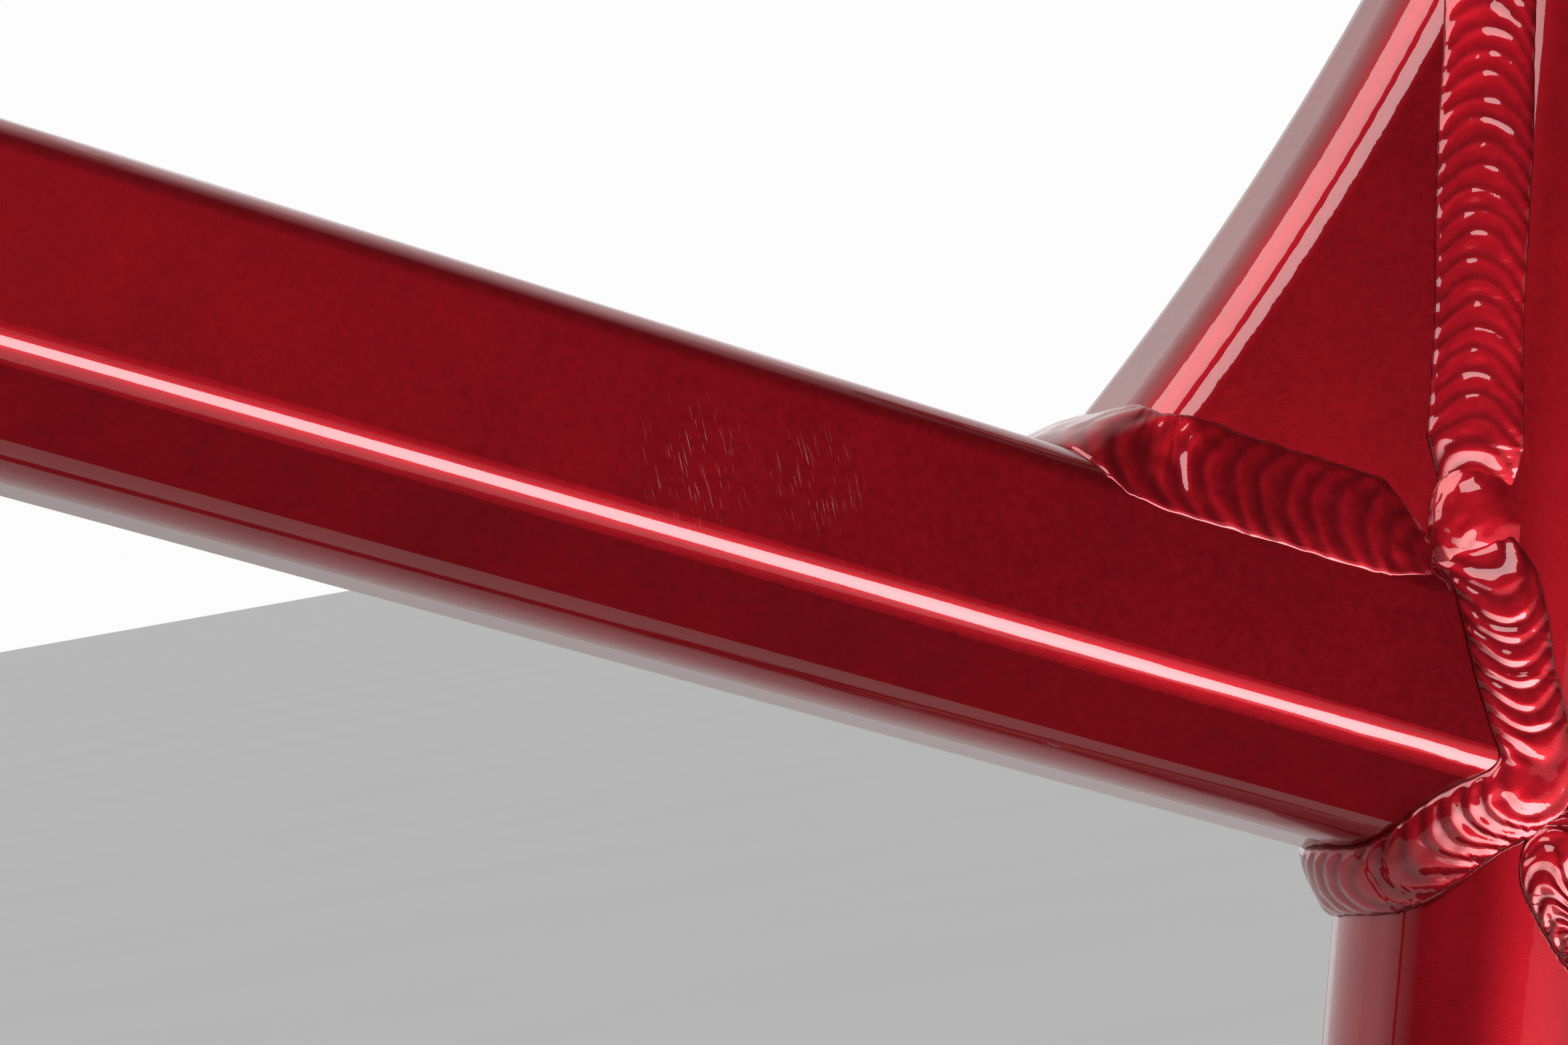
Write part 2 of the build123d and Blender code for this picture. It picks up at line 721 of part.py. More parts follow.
with BuildPart() as hanger_screws:
    with BuildSketch(right_side):
        with Locations(*forward_of_axle(hanger_screws_at)):
            Circle(hanger_screw_radius)
    extrude(amount=dropout_thickness + hanger_thickness)
    with BuildSketch(right_face.offset(hanger_thickness)):
        with Locations(*forward_of_axle(hanger_screws_at)):
            Circle(hanger_head_radius)
    extrude(amount=hanger_head_height)
    socket_floor = right_face.offset(hanger_thickness + hanger_head_height - hex_socket_depth)
    with BuildSketch(socket_floor):
        with Locations(*forward_of_axle(hanger_screws_at)):
            RegularPolygon(hex_socket_radius, 6)
    extrude(amount=hex_socket_depth, mode=Mode.SUBTRACT)
save(hanger_screws.part, "hanger_screws")

# ---------------------------------------------------------------- disc brake tab
disc_plane = Plane(
    origin=rear_axle - Vector(0, disc_tab_middle - disc_tab_thickness / 2, 0),
    x_dir=-seatstay_down,
    z_dir=(0, -1, 0),
)
disc_hole_second = disc_hole_first + disc_hole_spacing
disc_holes = [(disc_hole_first, -disc_hole_rise), (disc_hole_second, -disc_hole_rise)]
disc_roots = [(disc_hole_first, -disc_root), (disc_hole_second, -disc_root)]


def disc_tab_space(grow: float = 0.0) -> Part:
    """Solid plate with the disc tab's outline, thickened and widened by a bead's size."""
    with BuildPart() as plate:
        with BuildSketch(disc_plane.offset(-grow)):
            with BuildSketch(mode=Mode.PRIVATE) as circles:
                with Locations(*disc_holes):
                    Circle(disc_boss_radius + grow)
                with Locations(*disc_roots):
                    Circle(disc_root_radius + grow)
            make_hull(circles.edges())
        extrude(amount=disc_tab_thickness + 2 * grow)
    return plate.part


with BuildPart() as disc_tab:
    add(disc_tab_space())
    with BuildSketch(disc_plane):
        with Locations(*disc_holes):
            Circle(disc_hole_radius)
        with Locations(((disc_hole_first + disc_hole_second) / 2, -disc_hole_rise)):
            SlotCenterToCenter(disc_window_radius, 2 * disc_window_radius)
    extrude(amount=disc_tab_thickness, mode=Mode.SUBTRACT)
    add(mirrored(seatstay_space), mode=Mode.SUBTRACT)
save(disc_tab.part, "disc_tab")


# ---------------------------------------------------------------- bottle bosses
def boss(base: Plane, surface: float, tube: Part) -> Part:
    """Threaded insert through a tube's wall; the flange's underside follows the tube."""
    with BuildPart() as insert:
        with BuildSketch(base.offset(surface - boss_flange_height)):
            Circle(boss_flange_radius)
        extrude(amount=2 * boss_flange_height)
        add(tube, mode=Mode.SUBTRACT)
        with BuildSketch(base.offset(surface + boss_flange_height - boss_sleeve_length)):
            Circle(boss_sleeve_radius)
        extrude(amount=boss_sleeve_length)
        with BuildSketch(base.offset(surface + boss_flange_height - boss_sleeve_length)):
            Circle(boss_bore_radius)
        extrude(amount=boss_sleeve_length, mode=Mode.SUBTRACT)
    return insert.part


boss_bases = []
for step in (0, boss_spacing):
    seat_base = Plane(
        origin=seat_up * (seat_tube_boss_at + step), x_dir=(0, 1, 0), z_dir=seat_plane.y_dir
    )
    down_base = Plane(
        origin=down_tube_plane.offset(down_tube_boss_at + step).origin,
        x_dir=(0, 1, 0),
        z_dir=down_tube_plane.y_dir,
    )
    boss_bases.append((seat_base, seat_tube_radius, seat_space))
    boss_bases.append((down_base, down_tube_top_face, down_tube_space))
with BuildPart() as bottle_bosses:
    for base, surface, tube in boss_bases:
        add(boss(base, surface, tube))
save(bottle_bosses.part, "bottle_bosses")

# ---------------------------------------------------------------- cable and hose guides
down_tube_floor = down_tube_middle_section.height / 2
with BuildPart() as down_tube_guides:
    for distance in down_tube_guides_at:
        guide_start = down_tube_plane.offset(distance - guide_length / 2)
        with BuildSketch(guide_start):
            with Locations((0, -down_tube_floor - (guide_height - guide_root) / 2)):
                Rectangle(guide_width, guide_height + guide_root)
        extrude(amount=guide_length)
        with BuildSketch(guide_start):
            with Locations(
                (-guide_channel_offset, -down_tube_floor - guide_height / 2),
                (guide_channel_offset, -down_tube_floor - guide_height / 2),
            ):
                Circle(guide_channel_radius)
        extrude(amount=guide_length, mode=Mode.SUBTRACT)
    add(down_tube_space, mode=Mode.SUBTRACT)
save(down_tube_guides.part, "down_tube_guides")


def stay_ring(at: float, radius: float, bore: float, length: float, rise: float) -> Part:
    """Round guide beside the right seatstay's straight part, on its rear side."""
    (bend_at, bend_out) = seatstay_route[-1]
    end = Vector(seatstay_length - seatstay_gap_to_axle, plate_middle, 0)
    share = (at - bend_at) / (seatstay_length - bend_at)
    out = bend_out + (plate_middle - bend_out) * share
    lean = Vector(end.X - bend_at, end.Y - bend_out, 0).normalized()
    way = seatstay_plane.x_dir * lean.X + Vector(0, 1, 0) * lean.Y
    centre = seatstay_plane.origin + seatstay_plane.x_dir * at + Vector(0, out, 0)
    centre = centre - seatstay_plane.z_dir * rise - way * (length / 2)
    ring_plane = Plane(origin=centre, x_dir=seatstay_plane.z_dir, z_dir=way)
    with BuildPart() as ring:
        add(rod(ring_plane, radius, length))
        with BuildSketch(ring_plane):
            with Locations((rise / 2, 0)):
                Rectangle(rise, 2 * bore)
        extrude(amount=length)
        add(rod(ring_plane, bore, length), mode=Mode.SUBTRACT)
        add(seatstay_space, mode=Mode.SUBTRACT)
    return ring.part


with BuildPart() as hose_guides:
    for distance in seatstay_guides_at:
        add(
            mirrored(
                stay_ring(
                    distance,
                    stay_guide_radius,
                    stay_guide_channel_radius,
                    stay_guide_length,
                    stay_guide_rise,
                )
            )
        )
save(hose_guides.part, "hose_guides")

cable_stop = stay_ring(
    cable_stop_at, cable_stop_radius, cable_stop_bore_radius, cable_stop_length, cable_stop_rise
)
save(cable_stop, "cable_stop")

with BuildPart() as shell_cable_guide:
    guide_plane = Plane(
        origin=(0, -shell_guide_width / 2, 0), x_dir=(1, 0, 0), z_dir=(0, 1, 0)
    )
    outer = bottom_bracket_radius + shell_guide_thickness
    spread = outer * tan(radians(shell_guide_half_angle))
    with BuildSketch(guide_plane):
        Circle(outer)
        Circle(bottom_bracket_radius, mode=Mode.SUBTRACT)
        with BuildSketch(mode=Mode.PRIVATE) as wedge:
            with BuildLine():
                Polyline((0, 0), (-2 * spread, 2 * outer), (2 * spread, 2 * outer), close=True)
            make_face()
        add(wedge.sketch, mode=Mode.INTERSECT)
    extrude(amount=shell_guide_width)
    with BuildSketch(Plane.XY.offset(-bottom_bracket_radius - shell_guide_thickness)):
        Circle(shell_screw_radius + screw_clearance)
    extrude(amount=2 * shell_guide_thickness, mode=Mode.SUBTRACT)
    with BuildSketch(Plane.XY.offset(-outer)):
        Circle(shell_screw_head_radius + screw_clearance)
    extrude(amount=shell_screw_recess, mode=Mode.SUBTRACT)
save(shell_cable_guide.part, "shell_cable_guide")

with BuildPart() as shell_guide_screw:
    with BuildSketch(Plane.XY.offset(-bottom_bracket_radius - shell_guide_thickness)):
        Circle(shell_screw_radius)
    extrude(amount=bottom_bracket_radius + shell_guide_thickness - bottom_bracket_bore_radius)
    with BuildSketch(Plane.XY.offset(-outer + shell_screw_recess - shell_screw_head_height)):
        Circle(shell_screw_head_radius)
    extrude(amount=shell_screw_head_height)
    with BuildSketch(Plane.XY.offset(-outer + shell_screw_recess - shell_screw_head_height)):
        RegularPolygon(hex_socket_radius, 6)
    extrude(amount=hex_socket_depth, mode=Mode.SUBTRACT)
save(shell_guide_screw.part, "shell_guide_screw")

# ---------------------------------------------------------------- seat clamp
clamp_base = seat_plane.offset(seat_tube_length - clamp_height)
clamp_middle = seat_plane.offset(seat_tube_length - clamp_height / 2)
ear_side = Plane(
    origin=clamp_middle.origin - seat_plane.y_dir * skewer_back,
    x_dir=seat_up,
    z_dir=(0, -1, 0),
)
with BuildPart() as clamp_collar:
    with BuildSketch(clamp_base):
        Circle(clamp_radius)
    extrude(amount=clamp_height + clamp_lip)
    rims = clamp_collar.edges().filter_by(GeomType.CIRCLE)
    fillet(rims, collar_edge_round)
    with BuildSketch(clamp_base):
        with Locations((0, -ear_reach / 2)):
            Rectangle(ear_width, ear_reach)
    extrude(amount=clamp_height)
    far_edges = clamp_collar.edges().filter_by(Axis.Y).sort_by(
        lambda e: e.center().dot(seat_plane.y_dir)
    )[:2]
    fillet(far_edges, ear_round)
    with BuildSketch(clamp_base):
        Circle(seat_tube_radius + clamp_fit)
    extrude(amount=clamp_height, mode=Mode.SUBTRACT)
    with BuildSketch(clamp_base):
        Circle(clamp_lip_radius)
        with Locations((0, -ear_reach / 2)):
            Rectangle(clamp_slot, ear_reach)
    extrude(amount=clamp_height + clamp_lip, mode=Mode.SUBTRACT)
    with BuildSketch(ear_side):
        Circle(skewer_radius + skewer_fit)
    extrude(amount=ear_width, both=True, mode=Mode.SUBTRACT)
save(clamp_collar.part, "clamp_collar")

# Places along the skewer, to the left (-Y) and the right (+Y) of the frame's middle.
cam_seat_face = ear_width / 2 + cam_seat_floor
cam_middle = cam_seat_face + cam_fit + cam_radius
pivot_middle = cam_middle + cam_offset
nut_start = ear_width / 2 + clamp_washer_thickness + nut_gap
nut_end = nut_start + nut_length


def across_clamp(left: float, height: float) -> Plane:
    """Plane across the seat tube, centred on the clamp's skewer, left of the middle."""
    origin = clamp_middle.origin - seat_plane.y_dir * skewer_back - seat_up * (height / 2)
    return Plane(origin=origin - Vector(0, left, 0), x_dir=(0, 1, 0), z_dir=seat_up)


with BuildPart() as clamp_skewer:
    with BuildSketch(ear_side.offset(-nut_end + skewer_recess)):
        Circle(skewer_radius)
    extrude(amount=nut_end - skewer_recess + pivot_middle + skewer_radius)
save(clamp_skewer.part, "clamp_skewer")

with BuildPart() as clamp_pivot:
    with BuildSketch(across_clamp(pivot_middle, cam_height)):
        Circle(pivot_radius)
    extrude(amount=cam_height)
    chamfer(clamp_pivot.edges().filter_by(GeomType.CIRCLE), screw_clearance * 8)
    add(clamp_skewer.part, mode=Mode.SUBTRACT)
save(clamp_pivot.part, "clamp_pivot")

hollow_radius = cam_radius + cam_seat_spare
with BuildPart() as clamp_cam_seat:
    with BuildSketch(across_clamp(ear_width / 2, cam_seat_height)):
        with Locations((-(cam_seat_floor + cam_seat_depth) / 2, 0)):
            Rectangle(cam_seat_floor + cam_seat_depth, 2 * cam_seat_half_width)
    extrude(amount=cam_seat_height)
    with BuildSketch(across_clamp(cam_seat_face + hollow_radius, cam_seat_height)):
        Circle(hollow_radius)
    extrude(amount=cam_seat_height, mode=Mode.SUBTRACT)
    with BuildSketch(ear_side):
        Circle(skewer_radius + skewer_fit)
    extrude(amount=cam_middle, mode=Mode.SUBTRACT)
save(clamp_cam_seat.part, "clamp_cam_seat")

lever_arc_radius = clamp_radius + lever_gap + lever_thickness / 2
with BuildPart() as clamp_lever:
    arm_base = seat_plane.offset(seat_tube_length - clamp_height / 2 - lever_height / 2)
    with BuildSketch(arm_base):
        with BuildLine(mode=Mode.PRIVATE) as arm_line:
            CenterArc(
                (0, 0),
                lever_arc_radius,
                -90 - lever_from_angle,
                lever_from_angle - lever_to_angle,
            )
        SlotArc(arm_line.edge(), lever_thickness)
        with BuildSketch(mode=Mode.PRIVATE) as root_circles:
            with Locations((-cam_middle, -skewer_back)):
                Circle(cam_radius)
            with Locations(arm_line.edge() @ 0):
                Circle(lever_thickness / 2)
        make_hull(root_circles.edges())
    extrude(amount=lever_height)
    tip_edges = clamp_lever.edges().filter_by(GeomType.LINE, reverse=True)
    fillet(tip_edges, lever_edge_round)
    with BuildSketch(across_clamp(cam_middle, cam_height)):
        Circle(cam_radius)
    extrude(amount=cam_height)
    with BuildSketch(across_clamp(pivot_middle, fork_slot)):
        with Locations((0, cam_web_start - 2 * cam_radius)):
            Rectangle(4 * cam_radius, 4 * cam_radius)
    extrude(amount=fork_slot, mode=Mode.SUBTRACT)
    with BuildSketch(across_clamp(pivot_middle, cam_height)):
        Circle(pivot_radius + pivot_fit)
    extrude(amount=cam_height, mode=Mode.SUBTRACT)
save(clamp_lever.part, "clamp_lever")

with BuildPart() as clamp_washer:
    with BuildSketch(ear_side.offset(-ear_width / 2)):
        Circle(clamp_washer_radius)
        Circle(skewer_radius + skewer_fit, mode=Mode.SUBTRACT)
    extrude(amount=-clamp_washer_thickness)
save(clamp_washer.part, "clamp_washer")

with BuildPart() as clamp_nut:
    with BuildSketch(ear_side.offset(-nut_start)):
        Circle(nut_radius)
        with PolarLocations(nut_radius, nut_grooves):
            Circle(nut_groove_radius, mode=Mode.SUBTRACT)
        Circle(skewer_radius + skewer_fit, mode=Mode.SUBTRACT)
    extrude(amount=-nut_length)
save(clamp_nut.part, "clamp_nut")

# ---------------------------------------------------------------- weld beads
head_bead_space = rod(head_plane, head_tube_radius + main_bead, head_tube_length)
seat_bead_space = rod(
    seat_plane.offset(shell_bead_start), seat_tube_radius + main_bead, seat_tube_length
)
shell_bead_space = rod(shell_plane, bottom_bracket_radius + main_bead, bottom_bracket_width)
top_tube_bead_space = shaped_space(top_tube_stations, main_bead)
down_tube_bead_stations = [
    *down_tube_stations[:-1],
    (down_tube_plane.offset(down_tube_length - shell_bead_start), down_tube_end_section),
]
down_tube_bead_space = shaped_space(down_tube_bead_stations, main_bead)
gusset_bead_space = gusset_space(-main_bead)

weld_head_top_tube = bead(
    head_bead_space, top_tube_bead_space, [head_space, top_tube_space, down_tube_space]
)
weld_head_down_tube = bead(
    head_bead_space,
    down_tube_bead_space,
    [head_space, head_tube.part, top_tube_space, down_tube_space, weld_head_top_tube],
)
weld_top_tube_seat_tube = bead(
    seat_bead_space, top_tube_bead_space, [seat_space, top_tube_space, gusset_body]
)
weld_gusset_seat_tube = bead(
    gusset_bead_space,
    seat_bead_space,
    [seat_space, top_tube_space, gusset_body, weld_top_tube_seat_tube],
)
weld_gusset_top_tube = bead(
    gusset_bead_space,
    top_tube_bead_space,
    [
        seat_space,
        top_tube_space,
        gusset_body,
        weld_top_tube_seat_tube,
        weld_gusset_seat_tube,
    ],
)
weld_down_tube_shell = bead(
    shell_bead_space, down_tube_bead_space, [shell_space, down_tube_space, seat_space]
)
weld_seat_tube_shell = bead(
    shell_bead_space,
    seat_bead_space,
    [shell_space, down_tube_space, seat_space, weld_down_tube_shell],
)
main_welds = [
    (weld_head_top_tube, "weld_head_top_tube"),
    (weld_head_down_tube, "weld_head_down_tube"),
    (weld_top_tube_seat_tube, "weld_top_tube_seat_tube"),
    (weld_gusset_seat_tube, "weld_gusset_seat_tube"),
    (weld_gusset_top_tube, "weld_gusset_top_tube"),
    (weld_down_tube_shell, "weld_down_tube_shell"),
    (weld_seat_tube_shell, "weld_seat_tube_shell"),
]
for weld, name in main_welds:
    save(weld, name)

chainstay_bead_space = stay_space(
    chainstay_path,
    chainstay_plane,
    chainstay_height + 2 * stay_bead,
    chainstay_thickness + 2 * stay_bead,
)
seatstay_bead_space = stay_space(
    seatstay_path,
    seatstay_plane,
    2 * (seatstay_radius + stay_bead),
    2 * (seatstay_radius + stay_bead),
)
chainstay_weld = bead(
    chainstay_bead_space,
    rod(shell_plane, bottom_bracket_radius + stay_bead, bottom_bracket_width),
    [chainstay_space, shell_space, down_tube_space, seat_space]
    + [weld_down_tube_shell, weld_seat_tube_shell],
)
seatstay_weld = bead(
    seatstay_bead_space,
    rod(seat_plane, seat_tube_radius + stay_bead, seat_tube_length),
    [seatstay_space, mirrored(seatstay_space), seat_space, weld_top_tube_seat_tube],
)


def both_sides(part: Part) -> Part:
    """A part together with its mirror image."""
    with BuildPart() as pair:
        add(part)
        add(mirrored(part))
    return pair.part


save(both_sides(chainstay_weld), "weld_chainstays")
save(both_sides(seatstay_weld), "weld_seatstays")


def foot_weld(path: Wire, plane: Plane, height: float, width: float, solids: list) -> Part:
    """Weld ring round the joint between a stay and its dropout's foot."""
    with BuildPart() as ring:
        with BuildSketch(Plane(origin=path @ 1, x_dir=plane.z_dir, z_dir=path % 1)):
            Ellipse(height / 2 + small_bead, width / 2 + small_bead)
        extrude(amount=foot_bead_half_length, both=True)
        for solid in solids:
            add(solid, mode=Mode.SUBTRACT)
    return ring.part


foot_welds = [
    foot_weld(
        chainstay_path,
        chainstay_plane,
        chainstay_height,
        chainstay_thickness,
        [chainstay_space, chainstay_foot],
    ),
    foot_weld(
        seatstay_path,
        seatstay_plane,
        2 * seatstay_radius,
        2 * seatstay_radius,
        [seatstay_space, seatstay_foot, mirrored(disc_tab_space())],
    ),
]
with BuildPart() as weld_dropouts:
    for ring in foot_welds:
        add(both_sides(ring))
save(weld_dropouts.part, "weld_dropouts")
with BuildPart() as weld_bridges:
    for tube_end in (chainstay_bridge_weld, seatstay_bridge_weld):
        add(tube_end)
save(weld_bridges.part, "weld_bridges")
weld_disc_tab = bead(
    disc_tab_space(small_bead),
    mirrored(
        stay_space(
            seatstay_path,
            seatstay_plane,
            2 * (seatstay_radius + small_bead),
            2 * (seatstay_radius + small_bead),
        )
    ),
    [disc_tab_space(), mirrored(seatstay_space), weld_dropouts.part],
)
save(weld_disc_tab, "weld_disc_tab")
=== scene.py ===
"""Visual model of a welded bicycle frame, framed close on its seat cluster.

The tubes keep their CAD shapes and take candy-red, metal and plastic finishes. Every main
weld is rebuilt as a hand-laid bead: a row of overlapping ripples that follows its seam.
Lengths are in metres unless a name says millimetres.
"""

import json
import logging
import math
import random
from dataclasses import dataclass, field
from enum import Enum

import bmesh
import bpy
from mathutils import Matrix, Vector, noise
from mathutils.bvhtree import BVHTree

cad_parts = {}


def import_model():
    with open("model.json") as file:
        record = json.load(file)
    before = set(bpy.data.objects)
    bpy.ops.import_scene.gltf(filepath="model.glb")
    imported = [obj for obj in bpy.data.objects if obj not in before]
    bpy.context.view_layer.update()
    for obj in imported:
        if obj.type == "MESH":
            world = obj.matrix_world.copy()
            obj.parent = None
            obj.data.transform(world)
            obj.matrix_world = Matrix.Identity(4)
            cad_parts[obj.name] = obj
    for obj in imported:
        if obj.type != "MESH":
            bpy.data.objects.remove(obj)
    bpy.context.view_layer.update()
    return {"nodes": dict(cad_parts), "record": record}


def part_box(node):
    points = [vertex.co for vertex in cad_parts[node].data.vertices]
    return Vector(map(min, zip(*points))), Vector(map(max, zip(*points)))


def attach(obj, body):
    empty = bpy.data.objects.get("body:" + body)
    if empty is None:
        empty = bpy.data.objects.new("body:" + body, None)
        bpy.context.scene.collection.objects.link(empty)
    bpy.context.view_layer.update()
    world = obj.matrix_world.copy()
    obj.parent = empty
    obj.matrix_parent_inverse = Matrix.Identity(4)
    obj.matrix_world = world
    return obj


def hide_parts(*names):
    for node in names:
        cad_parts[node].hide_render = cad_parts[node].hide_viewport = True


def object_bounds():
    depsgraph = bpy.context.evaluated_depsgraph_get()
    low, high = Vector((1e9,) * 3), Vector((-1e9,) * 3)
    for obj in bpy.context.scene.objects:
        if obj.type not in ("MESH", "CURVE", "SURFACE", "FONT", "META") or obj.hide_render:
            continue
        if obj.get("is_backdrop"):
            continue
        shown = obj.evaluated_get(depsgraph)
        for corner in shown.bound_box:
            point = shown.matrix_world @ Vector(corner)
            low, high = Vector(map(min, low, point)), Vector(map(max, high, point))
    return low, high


LOG = logging.getLogger("bicycle_frame")
MM = 0.001
TOE_DEPTH = 0.22 * MM  # how far a bead's toes sink into the tubes
ROOT_DEPTH = 0.6 * MM  # how far its hidden root sinks


class Slot(Enum):
    """The record's material slots."""

    PAINT = "candy_red"
    BARE = "bare_aluminium"
    ANODISED = "black_anodised"
    STEEL = "steel"
    PLASTIC = "black_plastic"


# ---------------------------------------------------------------- side view of the frame
@dataclass(frozen=True)
class Layout:
    """Directions and places of the frame that the seams are built from."""

    seat_angle: float = math.radians(73.0)
    head_angle: float = math.radians(69.0)
    slope: float = math.radians(24.0)
    joint: float = 336.288 * MM
    head_top: Vector = field(default_factory=lambda: Vector((-0.400, 0, 0.585)))
    head_length: float = 135.0 * MM
    seat_radius: float = 17.45 * MM
    gusset_height: float = 92.0 * MM
    gusset_length: float = 47.0 * MM
    gusset_base: float = 12.5 * MM
    gusset_top: float = 8.5 * MM
    top_rise: float = 17.5 * MM
    seatstay_joint: float = 322.0 * MM
    rear_axle: Vector = field(default_factory=lambda: Vector((0.42394, 0, 0.030)))

    @property
    def seat_up(self) -> Vector:
        """Direction up the seat tube."""
        return Vector((math.cos(self.seat_angle), 0, math.sin(self.seat_angle)))

    @property
    def seat_front(self) -> Vector:
        """Direction forwards, square to the seat tube."""
        return Vector((-math.sin(self.seat_angle), 0, math.cos(self.seat_angle)))

    @property
    def head_up(self) -> Vector:
        """Direction up the head tube."""
        return Vector((math.cos(self.head_angle), 0, math.sin(self.head_angle)))

    @property
    def top_back(self) -> Vector:
        """Direction along the top tube towards the seat tube."""
        return Vector((math.cos(self.slope), 0, -math.sin(self.slope)))

    @property
    def top_up(self) -> Vector:
        """Direction square to the top tube, upwards."""
        return Vector((math.sin(self.slope), 0, math.cos(self.slope)))

    @property
    def cluster(self) -> Vector:
        """Where the top tube's axis meets the seat tube's axis."""
        return self.seat_up * self.joint

    @property
    def down_front(self) -> Vector:
        """Where the down tube's axis meets the head tube's axis."""
        return self.head_top - self.head_up * (self.head_length - 54.0 * MM)

    @property
    def corner(self) -> Vector:
        """Corner of the top tube's upper face and the seat tube's front line."""
        rise = self.top_up * self.top_rise
        along = self.seat_radius - rise.dot(self.seat_front)
        return self.cluster + rise + self.top_back * (along / self.top_back.dot(self.seat_front))


LAYOUT = Layout()


# ---------------------------------------------------------------- node graph helper
class Graph:
    """Small helper that adds and links shader nodes."""

    def __init__(self, name: str) -> None:
        """Starts an empty material.

        Args:
            name: The material's name.
        """
        self.material = bpy.data.materials.new(name)
        self.material.use_nodes = True
        self.tree = self.material.node_tree
        self.tree.nodes.clear()
        self.output = self.tree.nodes.new("ShaderNodeOutputMaterial")
        coordinates = self.tree.nodes.new("ShaderNodeTexCoord")
        self.place = coordinates.outputs["Object"]

    def node(self, kind: str, **inputs: object) -> bpy.types.Node:
        """Adds a node.

        Args:
            kind: The node's type.
            **inputs: Sockets by name, with spaces written as underscores; values or sockets.

        Returns:
            The new node.
        """
        made = self.tree.nodes.new(kind)
        for key, value in inputs.items():
            self.plug(made, key.replace("_", " "), value)
        return made

    def plug(self, made: bpy.types.Node, key: str | int, value: object) -> None:
        """Links or sets one input.

        Args:
            made: The node.
            key: The input's name or number.
            value: A socket to link or a constant to set.
        """
        if isinstance(value, bpy.types.NodeSocket):
            self.tree.links.new(value, made.inputs[key])
        else:
            made.inputs[key].default_value = value

    def math(self, operation: str, *values: object) -> bpy.types.NodeSocket:
        """Adds a math node and returns its result."""
        made = self.tree.nodes.new("ShaderNodeMath")
        made.operation = operation
        for number, value in enumerate(values):
            self.plug(made, number, value)
        return made.outputs[0]

    def noise(self, scale: float, detail: float = 3.0, rough: float = 0.5) -> bpy.types.NodeSocket:
        """Adds noise over the object's own coordinates and returns its value."""
        made = self.node(
            "ShaderNodeTexNoise", Vector=self.place, Scale=scale, Detail=detail, Roughness=rough
        )
        return made.outputs["Fac"]

    def ramp(self, value: object, low: float, high: float) -> bpy.types.NodeSocket:
        """Maps low..high to 0..1, held at both ends."""
        made = self.tree.nodes.new("ShaderNodeMapRange")
        self.plug(made, "Value", value)
        self.plug(made, "From Min", low)
        self.plug(made, "From Max", high)
        return made.outputs["Result"]

    def blend(self, share: object, first: object, second: object) -> bpy.types.NodeSocket:
        """Mixes two colours."""
        made = self.tree.nodes.new("ShaderNodeMix")
        made.data_type = "RGBA"
        for socket, value in ((0, share), (6, first), (7, second)):
            self.plug(made, socket, value)
        return made.outputs[2]

    def bump(self, height: object, strength: float, distance: float, normal: object = None) -> object:
        """Adds a bump node and returns its normal."""
        made = self.node("ShaderNodeBump", Height=height, Strength=strength, Distance=distance)
        if normal is not None:
            self.plug(made, "Normal", normal)
        return made.outputs["Normal"]

    def finish(self, **inputs: object) -> bpy.types.Material:
        """Ends the graph with a principled shader and returns the material."""
        shader = self.node("ShaderNodeBsdfPrincipled", **inputs)
        self.tree.links.new(shader.outputs[0], self.output.inputs["Surface"])
        return self.material


